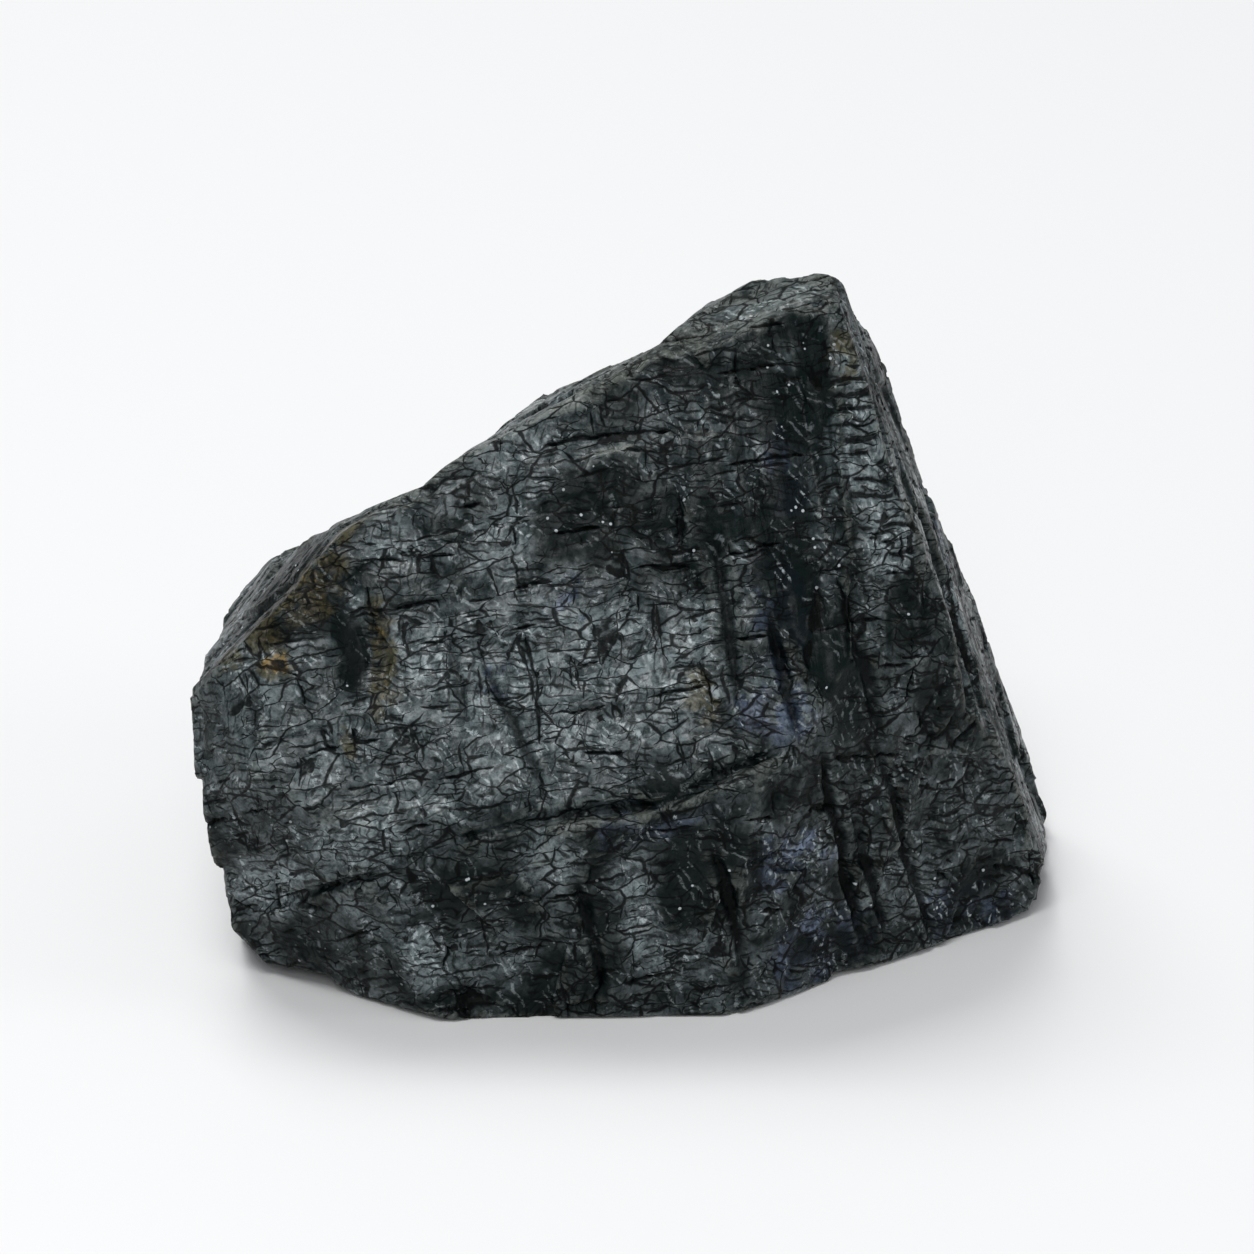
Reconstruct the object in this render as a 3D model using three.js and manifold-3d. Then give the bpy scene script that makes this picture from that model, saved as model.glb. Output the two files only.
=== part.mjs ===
// A broken chunk of black tourmaline (schorl): part of a thick prism, snapped across both ends.
//
// Millimetres, +Z up, origin under the middle of the chunk, on the flat break that it rests on.
// The crystal axis leans back and a little to the left. Long strips run along it, and the cross
// breaks of the mineral run square to it, so every side is a mosaic of small flat blocks that
// stand a little proud of each other. The broad front side slopes back and looks towards -Y.

import * as THREE from "three";
import { ConvexGeometry } from "three/addons/geometries/ConvexGeometry.js";
import { mergeVertices } from "three/addons/utils/BufferGeometryUtils.js";
import Module from "manifold-3d";

const wasm = await Module();
wasm.setup();

// ---------------------------------------------------------------- driving dimensions

const MIDDLE = new THREE.Vector3(0, 8, 20); // the point that every side's reach is measured from
const RAW_BLOCK = 120; // the size of the block that the chunk is cleaved from
const LEAN_IN_FRONT = 10; // degrees that the crystal axis leans left, within the front side
const STEP_SLOPE = 26; // degrees that the steps of the upper rim fall towards the back
const ROUNDING = { least: 0.8, most: 2.3 }; // the radius that an edge between two sides is worn to
const EDGE_ANGLE = { least: 12, most: 115 }; // degrees between two sides that share a worn edge
const FLAT_ANGLE = 24; // degrees of a worn edge's turn that one flat takes
const OVERLAP = 0.1; // how far a block's cut runs into its neighbour's
const CLEARANCE = 6; // how far above a side its cuts begin
const FINEST = 0.07; // detail smaller than this is left out
const SEED = 4127;

// Each side is a flat break or crystal face: turn is the way it faces in plan, in degrees from -Y
// towards +X, tip is how far it looks up, and reach is its distance from MIDDLE.
// The rest is its mosaic: block sizes across and along the crystal axis, how deep the deepest
// block lies, and how far a block tilts, in degrees.
const SIDES = {
  front: { turn: -2, tip: 31, reach: 17.2, across: 6.4, along: 5.4, relief: 0.55, tilt: 2.6 },
  belt: { turn: 2, tip: -5.5, reach: 22.6, across: 6.0, along: 5.0, relief: 0.9, tilt: 6 },
  beltLeft: { turn: -30, tip: -15, reach: 29.1, across: 6.4, along: 5.4, relief: 0.8, tilt: 6 },
  beltRight: { turn: 36, tip: -4, reach: 22.9, across: 3.6, along: 8.4, relief: 0.7, tilt: 4 },
  leftFront: { turn: -50, tip: 13, reach: 31.0, across: 5.0, along: 5.0, relief: 0.6, tilt: 5 },
  left: { turn: -94.5, tip: -7, reach: 29.0, across: 8.4, along: 7.4, relief: 1.0, tilt: 6 },
  leftLow: { turn: -62, tip: -38, reach: 34.6, across: 6.4, along: 5.6, relief: 0.8, tilt: 6 },
  upperLeft: { turn: -104, tip: 40, reach: 21.4, across: 7.0, along: 8.0, relief: 0.5, tilt: 4 },
  topLeft: { turn: -120.6, tip: 54.5, reach: 17.6, across: 7.0, along: 8.0, relief: 0.5, tilt: 4 },
  top: { turn: -95, tip: 72.2, reach: 22.1, across: 6.6, along: 7.6, relief: 0.5, tilt: 3 },
  rightFront: { turn: 40, tip: 24, reach: 23.4, across: 3.2, along: 3.4, relief: 0.5, tilt: 5 },
  right: { turn: 90.5, tip: 19.6, reach: 23.9, across: 3.2, along: 15, relief: 0.9, tilt: 2.5 },
  rightLow: { turn: 86, tip: -16.5, reach: 34.8, across: 4.6, along: 6.6, relief: 0.7, tilt: 5 },
  rightFoot: { turn: 57.5, tip: -50.5, reach: 33.6, across: 6.0, along: 6.0, relief: 0.5, tilt: 5 },
  back: { turn: 172, tip: 37, reach: 20.2, across: 6.2, along: 15, relief: 1.3, tilt: 3 },
  backLow: { turn: 184, tip: -6, reach: 20.6, across: 6.0, along: 13, relief: 1.4, tilt: 4 },
  backRight: { turn: 128, tip: 13, reach: 25.6, across: 5.6, along: 18, relief: 1.1, tilt: 2.5 },
  backLeft: { turn: -146, tip: 17, reach: 25.6, across: 9.0, along: 9.0, relief: 1.4, tilt: 6 },
  bottom: { turn: 0, tip: -90, reach: 20, across: 12, along: 11, relief: 0.9, tilt: 4 },
};
const REST = { across: 12, along: 9 }; // half the size of the flat that the bottom keeps whole

// The upper rim is broken in three steps, as [across, along] in the front's frame: each step is
// the end of its tread, its inner corner, and the top of its riser.
const STEPS = [
  [[-21.4, 8.9], [-11.5, 11.0], [-2.2, 16.9]],
  [[-2.2, 16.9], [6.1, 18.1], [9.8, 20.6]],
];
const STEP_BLOCKS = { across: 4.6, along: 8.4, relief: 0.6, tilt: 3 }; // a step's own mosaic
const STEP_CLEARANCE = 1; // how far above a tread or riser its cuts begin

// The shallow trough between the front and the column of the crystal to the right of it, which
// goes on down the lower right side. It falls gently from its left edge and rises steeply on the
// right: each line is [across, along] at its top and at its foot.
const TROUGHS = [
  {
    side: "front", depth: 1.1,
    left: [[8.6, 26], [12.8, -16]],
    floor: [[15.4, 26], [15.8, -16]],
    right: [[18.2, 26], [17.2, -16]],
  },
  {
    side: "beltRight", depth: 0.8,
    left: [[-4, 10], [1.0, -24]],
    floor: [[4.0, 10], [9.4, -24]],
    right: [[6.4, 10], [12.6, -24]],
  },
];

// Cracks are lines of points in a side's own frame, across and then along, in millimetres from
// the foot of its reach. The width is across the open mouth.
const CRACKS = [
  // the long cross break that parts the front from the belt under it
  {
    side: "front", width: 1.5, depth: 2.0,
    line: [
      [-31, -16.0], [-26.7, -15.3], [-20.1, -14.9], [-14.1, -13.9], [-8.6, -13.5], [-3.6, -13.4],
      [1.2, -13.7], [7.2, -11.9], [12.4, -10.8],
    ],
  },
  // the same break where it runs on over the worn edge, in the top of the belt
  {
    side: "belt", width: 1.4, depth: 1.5,
    line: [[-20.4, -1.6], [-13.9, -1.1], [-8.8, -0.3], [-3.2, 0.1], [1.2, 0.0]],
  },
  {
    side: "beltLeft", width: 1.4, depth: 1.5,
    line: [[-20.1, 1.0], [-14.7, 1.1], [-9.8, 1.3], [-5.7, 1.4], [2.4, 1.5]],
  },
  // the shorter break above it
  {
    side: "front", width: 0.9, depth: 0.9,
    line: [[-25.4, -10.2], [-19.9, -9.8], [-15.2, -10.5], [-9.5, -12.1], [-4.1, -12.1]],
  },
  // the stepped breaks below the upper left rim
  {
    side: "front", width: 0.9, depth: 0.8,
    line: [[-16.6, 5.4], [-12.2, 6.7], [-10, 6.6], [-5.6, 7.7], [-2.6, 8.3], [2.4, 8.2]],
  },
  {
    side: "front", width: 0.7, depth: 0.6,
    line: [[-21.2, 0.8], [-16, 2.3], [-11.4, 2.6], [-6.2, 3.8], [-0.6, 3.6]],
  },
  {
    side: "front", width: 0.7, depth: 0.6,
    line: [[-9, -5.2], [-3.4, -4.4], [2.2, -5], [8.6, -4.2]],
  },
  // breaks that run along the crystal
  {
    side: "front", width: 0.8, depth: 0.8,
    line: [[-26.3, 0.4], [-25.8, -4], [-25.5, -9], [-25.9, -13.4]],
  },
  {
    side: "front", width: 0.8, depth: 0.7,
    line: [[-10.8, -0.4], [-8.7, -2.8], [-7.1, -6.8], [-5.4, -10.6]],
  },
  {
    side: "belt", width: 1.0, depth: 1.0,
    line: [[-6.4, 3], [-5.2, -5.4], [-6, -10.2], [-4.8, -14.8]],
  },
  {
    side: "belt", width: 0.9, depth: 0.9,
    line: [[-14.2, -7], [-8.6, -6], [-1.6, -7.4], [4.2, -5.4], [9, -5.8]],
  },
  {
    side: "beltRight", width: 0.9, depth: 0.8,
    line: [[-8.4, -8], [-1.8, -6.4], [4.8, -4.2], [12.6, -4.6]],
  },
  {
    side: "backLeft", width: 1.4, depth: 1.5,
    line: [[-16, 3], [-9, 4.4], [-2, 3.2], [6, 5], [15, 4.4]],
  },
  {
    side: "back", width: 1.2, depth: 1.2,
    line: [[-18, -3], [-9, -2], [0, -3.4], [10, -1.8]],
  },
  {
    side: "backLow", width: 1.2, depth: 1.2,
    line: [[-17, -6], [-8, -4.6], [2, -6], [12, -5]],
  },
  {
    side: "left", width: 1.2, depth: 1.1,
    line: [[-10, -3], [-3, -1.6], [4, -2.8], [11, -1.4]],
  },
];

// Sides with long furrows along the crystal: how many, over what width, and their size.
const FURROWS = [
  { side: "front", count: 7, from: 9, to: 18, width: 0.8, depth: 0.45, length: 22, middle: 3 },
  { side: "beltRight", count: 7, from: -6, to: 17, width: 0.8, depth: 0.5, length: 15, middle: -7 },
  { side: "right", count: 5, from: -14, to: 14, width: 0.9, depth: 0.6, length: 24, middle: 1 },
  { side: "backRight", count: 4, from: -12, to: 12, width: 1.0, depth: 0.7, length: 24, middle: 1 },
  { side: "back", count: 3, from: -15, to: 14, width: 1.0, depth: 0.6, length: 20, middle: 2 },
  { side: "backLow", count: 3, from: -15, to: 14, width: 1.0, depth: 0.6, length: 14, middle: -3 },
];

// Chips where a block has broken out, in a side's frame: the middle, the size, the depth, and the
// way that the floor rises, in degrees from across towards along.
const CHIPS = [
  { side: "front", at: [1.9, -11.6], size: [5.0, 4.0], depth: 1.7, rises: 80 },
  { side: "front", at: [-17.6, 0.2], size: [4.6, 6.4], depth: 0.9, rises: 200 },
  { side: "front", at: [-14.5, 4.6], size: [7.4, 4.2], depth: 0.7, rises: 260 },
  { side: "front", at: [-1.0, 12.4], size: [8.2, 4.6], depth: 0.6, rises: 250 },
  { side: "front", at: [4.2, -3.0], size: [5.4, 6.2], depth: 0.6, rises: 20 },
  { side: "belt", at: [-10.4, -1.6], size: [8.6, 6.2], depth: 1.6, rises: 265 },
  { side: "belt", at: [-2.0, -8.6], size: [6.2, 8.4], depth: 1.4, rises: 300 },
  { side: "belt", at: [7.0, -4.0], size: [5.6, 8.6], depth: 1.2, rises: 250 },
  { side: "beltLeft", at: [2.0, -2.0], size: [7.6, 5.4], depth: 1.1, rises: 240 },
  { side: "beltRight", at: [12.4, -9.0], size: [6.0, 7.4], depth: 1.1, rises: 300 },
  { side: "back", at: [-6.4, 3.0], size: [9.2, 9.6], depth: 2.0, rises: 60 },
  { side: "backLeft", at: [2.6, -6.4], size: [10.6, 8.2], depth: 2.4, rises: 100 },
  { side: "backLow", at: [7.2, 0.6], size: [9.8, 9.4], depth: 2.0, rises: 290 },
  { side: "left", at: [3.6, 4.2], size: [8.4, 6.6], depth: 1.6, rises: 240 },
  { side: "right", at: [-4.0, -10.0], size: [7.0, 9.0], depth: 1.4, rises: 120 },
];

// ---------------------------------------------------------------- numbers and frames

// A small seeded generator, so that every build gives the same chunk.
function makeRandom(seed) {
  let state = seed;
  return () => {
    state = (state + 0x6d2b79f5) | 0;
    let t = Math.imul(state ^ (state >>> 15), 1 | state);
    t = (t + Math.imul(t ^ (t >>> 7), 61 | t)) ^ t;
    return ((t ^ (t >>> 14)) >>> 0) / 4294967296;
  };
}

// Random numbers between two bounds, from a stream of their own for each thing that is made.
let streams = 0;
function makeBetween() {
  const random = makeRandom(SEED + 7919 * streams++);
  return (low, high) => low + (high - low) * random();
}

const radians = THREE.MathUtils.degToRad;

// The unit vector that a side faces.
function facing({ turn, tip }) {
  const [t, e] = [radians(turn), radians(tip)];
  return new THREE.Vector3(Math.sin(t) * Math.cos(e), -Math.cos(t) * Math.cos(e), Math.sin(e));
}

// The crystal axis lies in the front side.
function crystalAxis() {
  const out = facing(SIDES.front);
  const up = new THREE.Vector3(0, 0, 1).addScaledVector(out, -out.z).normalize();
  return up.applyAxisAngle(out, radians(LEAN_IN_FRONT));
}

const AXIS = crystalAxis();

// The way that the steps of the upper rim run.
const BACKWARDS = new THREE.Vector3(0, 1, 0).applyAxisAngle(
  new THREE.Vector3(1, 0, 0),
  -radians(STEP_SLOPE),
);

// A side's own frame: x across the crystal axis, y along it, z out of the stone.
function sideFrame(side) {
  const out = facing(side);
  const along = AXIS.clone().addScaledVector(out, -AXIS.dot(out)).normalize();
  const across = new THREE.Vector3().crossVectors(along, out);
  const foot = MIDDLE.clone().addScaledVector(out, side.reach);
  return new THREE.Matrix4().makeBasis(across, along, out).setPosition(foot);
}

const FRAMES = Object.fromEntries(
  Object.entries(SIDES).map(([name, side]) => [name, sideFrame(side)]),
);

const inFrame = (frame, x, y, z) => new THREE.Vector3(x, y, z).applyMatrix4(frame);

// ---------------------------------------------------------------- solids

function solidOf(geometry) {
  const bare = new THREE.BufferGeometry();
  bare.setAttribute("position", geometry.getAttribute("position"));
  bare.setIndex(geometry.index);
  const merged = mergeVertices(bare, 1e-4);
  return new wasm.Manifold(
    new wasm.Mesh({
      numProp: 3,
      vertProperties: new Float32Array(merged.attributes.position.array),
      triVerts: new Uint32Array(merged.index.array),
    }),
  );
}

const hullOf = (points) => solidOf(new ConvexGeometry(points));

// What is left of a solid inside a plane that stands at reach from MIDDLE, square to out.
function cleave(solid, out, reach) {
  return solid.trimByPlane(out.clone().negate().toArray(), -(out.dot(MIDDLE) + reach));
}

// ---------------------------------------------------------------- the chunk's form

// The flats of a worn edge lie against a cylinder that touches both sides.
function roundEdge(solid, a, b, radius) {
  const [outA, outB] = [facing(a), facing(b)];
  const angle = outA.angleTo(outB);
  const flats = Math.ceil(THREE.MathUtils.radToDeg(angle) / FLAT_ANGLE) - 1 || 1;
  for (let i = 1; i <= flats; i++) {
    const share = i / (flats + 1);
    const partA = Math.sin((1 - share) * angle) / Math.sin(angle);
    const partB = Math.sin(share * angle) / Math.sin(angle);
    const out = outA.clone().multiplyScalar(partA).addScaledVector(outB, partB).normalize();
    const reach = partA * (a.reach - radius) + partB * (b.reach - radius) + radius;
    solid = cleave(solid, out, reach);
  }
  return solid;
}

// The block that the sides bound, with its edges worn.
function boundedBlock() {
  const between = makeBetween();
  const sides = Object.values(SIDES);
  let solid = solidOf(new THREE.BoxGeometry(RAW_BLOCK, RAW_BLOCK, RAW_BLOCK));
  for (const side of sides) solid = cleave(solid, facing(side), side.reach);
  sides.forEach((a, i) => {
    for (const b of sides.slice(i + 1)) {
      const radius = between(ROUNDING.least, ROUNDING.most);
      const angle = THREE.MathUtils.radToDeg(facing(a).angleTo(facing(b)));
      if (angle > EDGE_ANGLE.least && angle < EDGE_ANGLE.most) solid = roundEdge(solid, a, b, radius);
    }
  });
  return solid;
}

// A step is all that lies above its tread and before its riser. Both run towards the back.
function rimStep([tread, inner, riser]) {
  const reached = (end, times) => inner.map((value, i) => value + (end[i] - value) * times);
  const outline = [inner, reached(tread, 5), [inner[0] - 20, inner[1] + 40], reached(riser, 5)];
  return hullOf(
    outline.flatMap(([x, y]) => {
      const point = inFrame(FRAMES.front, x, y, 0);
      return [-20, 60].map((run) => point.clone().addScaledVector(BACKWARDS, run));
    }),
  );
}

// The mosaics of a step's tread and of its riser, which meet in the step's inner corner. Their
// frames have x across the step, y towards the back and z out.
function stepMosaics([tread, inner, riser]) {
  const [before, corner, after] = [tread, inner, riser].map(([x, y]) => inFrame(FRAMES.front, x, y, 0));
  return [before, after].flatMap((end) => {
    const hand = Math.sign(end.x - corner.x);
    const slope = end.clone().sub(corner).multiplyScalar(hand);
    const across = slope.addScaledVector(BACKWARDS, -slope.dot(BACKWARDS)).normalize();
    const out = new THREE.Vector3().crossVectors(across, BACKWARDS);
    const frame = new THREE.Matrix4().makeBasis(across, BACKWARDS, out).setPosition(corner);
    const isPastCorner = (corners) => corners.some(([x]) => x * hand < 0.3);
    return mosaic(frame, STEP_BLOCKS, STEP_CLEARANCE, isPastCorner);
  });
}

function trough({ side, left, floor, right, depth }) {
  const points = [];
  for (const [x, y] of [...left, ...right]) {
    points.push(inFrame(FRAMES[side], x, y, 0), inFrame(FRAMES[side], x, y, CLEARANCE));
  }
  for (const [x, y] of floor) points.push(inFrame(FRAMES[side], x, y, -depth));
  return hullOf(points);
}

// ---------------------------------------------------------------- the relief of the sides

// True where a point is inside, or nearly inside, every side.
function isOnChunk(point, slack) {
  const offset = point.clone().sub(MIDDLE);
  return Object.values(SIDES).every((side) => offset.dot(facing(side)) < side.reach + slack);
}

// One block of a mosaic: all that lies above its own slightly tilted floor.
function blockCut(frame, corners, depth, tiltX, tiltY, clearance) {
  const count = corners.length;
  const middleX = corners.reduce((sum, [x]) => sum + x / count, 0);
  const middleY = corners.reduce((sum, [, y]) => sum + y / count, 0);
  const points = corners.flatMap(([x, y]) => {
    const [dx, dy] = [x - middleX, y - middleY];
    const grown = 1 + OVERLAP / Math.hypot(dx, dy);
    const [gx, gy] = [middleX + dx * grown, middleY + dy * grown];
    const floor = -depth + dx * tiltX + dy * tiltY;
    return [inFrame(frame, gx, gy, floor), inFrame(frame, gx, gy, clearance)];
  });
  return hullOf(points);
}

// A mosaic is a grid of blocks with shaken corners, each at its own depth and tilt.
function mosaic(frame, side, clearance, isLeftWhole) {
  const between = makeBetween();
  const columns = Math.ceil(34 / side.across);
  const rows = Math.ceil(32 / side.along);
  const corner = (i, j) => [
    (i + between(-0.3, 0.3) + (j % 2) * 0.2) * side.across,
    (j + between(-0.28, 0.28)) * side.along,
  ];
  const grid = Array.from({ length: 2 * columns + 1 }, (_, i) =>
    Array.from({ length: 2 * rows + 1 }, (_, j) => corner(i - columns, j - rows)),
  );
  const steepest = Math.tan(radians(side.tilt));
  const cuts = [];
  for (let i = 0; i < 2 * columns; i++) {
    for (let j = 0; j < 2 * rows; j++) {
      const corners = [grid[i][j], grid[i + 1][j], grid[i + 1][j + 1], grid[i][j + 1]];
      const depth = 0.03 + side.relief * between(0, 1) ** 1.6;
      const [tiltX, tiltY] = [between(-steepest, steepest), between(-steepest, steepest)];
      const [x, y] = [(corners[0][0] + corners[2][0]) / 2, (corners[0][1] + corners[2][1]) / 2];
      if (!isLeftWhole(corners) && isOnChunk(inFrame(frame, x, y, -0.5), side.across)) {
        cuts.push(blockCut(frame, corners, depth, tiltX, tiltY, clearance));
      }
    }
  }
  return cuts;
}

// A stretch of a groove with a pointed section. It runs a little past its ends, where it is as
// wide and as deep as the shares of its full size given for them.
function furrow(frame, [start, end], width, depth, shares) {
  const [dx, dy] = [end[0] - start[0], end[1] - start[1]];
  const length = Math.hypot(dx, dy);
  const points = [];
  [start, end].forEach(([x, y], i) => {
    const past = (i ? 0.15 : -0.15) / length;
    const half = (width * shares[i]) / 2;
    const [px, py] = [x + dx * past, y + dy * past];
    points.push(inFrame(frame, px, py, -depth * shares[i]));
    for (const side of [-half / length, half / length]) {
      points.push(inFrame(frame, px - dy * side, py + dx * side, 0.3));
      points.push(inFrame(frame, px - dy * side, py + dx * side, CLEARANCE / 2));
    }
  });
  return hullOf(points);
}

// A crack is full size along its line and closes up in its first and last stretches.
function crack({ side, width, depth, line }) {
  return line.slice(1).map((end, i) => {
    const shares = [i ? 1 : 0.25, i + 2 < line.length ? 1 : 0.25];
    return furrow(FRAMES[side], [line[i], end], width, depth, shares);
  });
}

// Long furrows along the crystal, shaken in place, length and size, each in two stretches.
function furrows({ side, count, from, to, width, depth, length, middle }) {
  const between = makeBetween();
  return Array.from({ length: count }, (_, i) => {
    const x = from + ((to - from) * (i + between(0.1, 0.9))) / count;
    const y = middle + between(-0.35, 0.35) * length;
    const half = (length / 2) * between(0.55, 1.1);
    const drift = between(-0.5, 0.5);
    const size = between(0.7, 1.25);
    const [top, foot] = [[x + drift, y + half], [x, y - half]];
    return [
      furrow(FRAMES[side], [foot, [x, y]], width * size, depth * size, [0.2, 1]),
      furrow(FRAMES[side], [[x, y], top], width * size, depth * size, [1, 0.2]),
    ];
  }).flat();
}

// A chip is deepest at one side, where it has a wall, and runs out at the other.
function chip({ side, at, size, depth, rises }) {
  const between = makeBetween();
  const [riseX, riseY] = [Math.cos(radians(rises)), Math.sin(radians(rises))];
  const points = [0, 60, 120, 180, 240, 300].flatMap((angle) => {
    const turned = radians(angle + between(-16, 16));
    const [ux, uy] = [Math.cos(turned) * between(0.85, 1.15), Math.sin(turned) * between(0.85, 1.15)];
    const floor = -depth * (0.5 - 0.58 * (ux * riseX + uy * riseY));
    const [x, y] = [at[0] + (ux * size[0]) / 2, at[1] + (uy * size[1]) / 2];
    return [inFrame(FRAMES[side], x, y, floor), inFrame(FRAMES[side], x, y, CLEARANCE)];
  });
  return hullOf(points);
}

// True for a block of the bottom that reaches into the flat that is kept whole.
function bearsWeight(corners) {
  return corners.some(([x, y]) => Math.abs(x) < REST.across && Math.abs(y) < REST.along);
}

// The largest body, in case a cut has freed a crumb.
function largest(solid) {
  return solid.decompose().sort((a, b) => b.volume() - a.volume())[0];
}

function chunk() {
  const form = wasm.Manifold.union([...STEPS.map(rimStep), ...TROUGHS.map(trough)]);
  const relief = wasm.Manifold.union([
    ...Object.entries(SIDES).flatMap(([name, side]) =>
      mosaic(FRAMES[name], side, CLEARANCE, (corners) => name === "bottom" && bearsWeight(corners)),
    ),
    ...STEPS.flatMap(stepMosaics),
    ...CHIPS.map(chip),
    ...CRACKS.flatMap(crack),
    ...FURROWS.flatMap(furrows),
  ]);
  return largest(boundedBlock().subtract(form).subtract(relief).simplify(FINEST));
}

// ---------------------------------------------------------------- the scene graph

// The solid's surface, moved so that the origin is under the middle of the chunk.
function geometryOf(solid) {
  const mesh = solid.getMesh();
  const geometry = new THREE.BufferGeometry();
  geometry.setAttribute("position", new THREE.BufferAttribute(mesh.vertProperties, mesh.numProp));
  geometry.setIndex(new THREE.BufferAttribute(mesh.triVerts, 1));
  geometry.computeBoundingBox();
  const middle = geometry.boundingBox.getCenter(new THREE.Vector3());
  return geometry.translate(-middle.x, -middle.y, -geometry.boundingBox.min.z);
}

const schorl = new THREE.MeshStandardMaterial({ color: 0x1d2122, roughness: 0.38, metalness: 0 });
schorl.flatShading = true;

const stone = new THREE.Mesh(geometryOf(chunk()), schorl);
stone.name = "tourmaline_chunk";

const group = new THREE.Group();
group.add(stone);

export default group;
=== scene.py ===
"""Looks of a rough chunk of black tourmaline: its fine relief, finish, floor, light and camera."""

import logging
import math
from dataclasses import dataclass, field
from enum import Enum
from typing import Iterable, Union

import bpy
from mathutils import Euler, Matrix, Quaternion, Vector


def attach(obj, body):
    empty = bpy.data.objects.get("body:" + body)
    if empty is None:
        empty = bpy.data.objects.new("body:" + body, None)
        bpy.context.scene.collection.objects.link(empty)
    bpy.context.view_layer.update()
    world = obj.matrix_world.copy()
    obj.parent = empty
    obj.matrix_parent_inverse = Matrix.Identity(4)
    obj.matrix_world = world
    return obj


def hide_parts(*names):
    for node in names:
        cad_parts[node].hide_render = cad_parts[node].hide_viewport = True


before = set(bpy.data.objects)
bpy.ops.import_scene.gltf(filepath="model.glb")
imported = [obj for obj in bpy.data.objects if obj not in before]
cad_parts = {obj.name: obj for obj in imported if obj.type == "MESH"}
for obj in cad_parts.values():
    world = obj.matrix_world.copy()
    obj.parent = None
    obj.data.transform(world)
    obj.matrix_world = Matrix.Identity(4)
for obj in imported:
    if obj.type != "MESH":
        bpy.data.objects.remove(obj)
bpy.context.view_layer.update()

LOG = logging.getLogger("tourmaline")

NODE = "tourmaline_chunk"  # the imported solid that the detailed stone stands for
BODY = "root"

MM = 0.001  # metres in a millimetre
MIDDLE = Vector((-0.67, 0.19, 20.0))  # the point that each side's reach is measured from, in mm
LEAN = 10.0  # degrees that the crystal axis leans left, within the front side
LEAST_WIDTH = 0.001  # millimetres, so that the soft rim of a shut break has some length

Socket = bpy.types.NodeSocket
Feed = Union[Socket, float, int, tuple[float, ...], Vector, None]
Colour = tuple[float, float, float, float]


class TreeKind(Enum):
    """The two kinds of node tree that an effect can be built for."""

    SHADER = "ShaderNodeTree"
    GEOMETRY = "GeometryNodeTree"


class SocketKind(Enum):
    """The kinds of socket that an effect shows."""

    NUMBER = "NodeSocketFloat"
    VECTOR = "NodeSocketVector"


class Layer(Enum):
    """The values that the relief stores on the stone's points for its finish."""

    RAW = "raw"
    SMOOTH = "smooth_zone"
    STAIN = "stain_zone"
    NAVY = "navy_zone"
    # painted light from above: a paler top strip and right rim, and faces turned up
    TOP_LIGHT = "pale_zone"
    BRICK = "brick_zone"
    STREAK = "streak_zone"
    SHINE = "shine_zone"
    SHADE = "shade_zone"
    GROOVE = "groove_zone"
    HOLLOW = "hollow"
    GAP = "gap"


# ---------------------------------------------------------------- the stone's own frames


@dataclass(frozen=True)
class Side:
    """A broad side of the chunk: the way it faces, in degrees, and its reach, in millimetres."""

    turn: float
    tip: float
    reach: float

    @property
    def out(self) -> Vector:
        """Works out which way the side faces.

        Returns:
            The direction, one unit long.
        """
        turn, tip = math.radians(self.turn), math.radians(self.tip)
        flat = math.cos(tip)
        return Vector((math.sin(turn) * flat, -math.cos(turn) * flat, math.sin(tip)))

    @property
    def along(self) -> Vector:
        """The crystal axis, laid flat in the side."""
        axis = crystal_axis()
        return (axis - self.out * axis.dot(self.out)).normalized()

    @property
    def across(self) -> Vector:
        """The direction in the side that is square to the crystal axis."""
        return self.along.cross(self.out)

    def basis(self, turn: float = 0.0) -> Matrix:
        """The side's axes as the columns of a matrix.

        Args:
            turn: Degrees that the first two axes are turned within the side.

        Returns:
            A 3x3 rotation from the side's frame to the stone's.
        """
        flat = Matrix((self.across, self.along, self.out)).transposed()
        return flat @ Matrix.Rotation(math.radians(turn), 3, "Z")

    def point(self, across: float, along: float) -> Vector:
        """A point of the side.

        Args:
            across: Millimetres from the foot of its reach, square to the crystal axis.
            along: Millimetres from it along the crystal axis.

        Returns:
            The point in the stone's frame, in millimetres.
        """
        foot = MIDDLE + self.out * self.reach
        return foot + self.across * across + self.along * along


FRONT = Side(turn=-2, tip=31, reach=17.2)


def crystal_axis() -> Vector:
    """Works out which way the crystal grew.

    Returns:
        The direction of its long axis, which lies in the front side.
    """
    out = FRONT.out
    up = Vector((0, 0, 1)) - out * out.z
    return (Quaternion(out, math.radians(LEAN)) @ up).normalized()


BELT = Side(turn=2, tip=-5.5, reach=22.6)
BELT_LEFT = Side(turn=-30, tip=-15, reach=29.1)
BELT_RIGHT = Side(turn=36, tip=-4, reach=22.9)
RIGHT_FRONT = Side(turn=40, tip=24, reach=23.4)
RIGHT = Side(turn=90.5, tip=19.6, reach=23.9)
BACK = Side(turn=172, tip=37, reach=20.2)
BACK_LOW = Side(turn=184, tip=-6, reach=20.6)
LEFT = Side(turn=-94.5, tip=-7, reach=29.0)
UPPER_LEFT = Side(turn=-104, tip=40, reach=21.4)


@dataclass(frozen=True)
class Patch:
    """An oval area of a side, in millimetres in the side's frame.

    Attributes:
        side: The side that it lies on.
        at: Its middle, across and along.
        size: Half its width and half its length.
        turn: Degrees that it is turned within the side.
        share: How strong its effect is in the middle.
        depth: How far its effect reaches into and out of the stone.
    """

    side: Side
    at: tuple[float, float]
    size: tuple[float, float]
    turn: float = 0.0
    share: float = 1.0
    depth: float = 5.0


# ---------------------------------------------------------------- node trees


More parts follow.
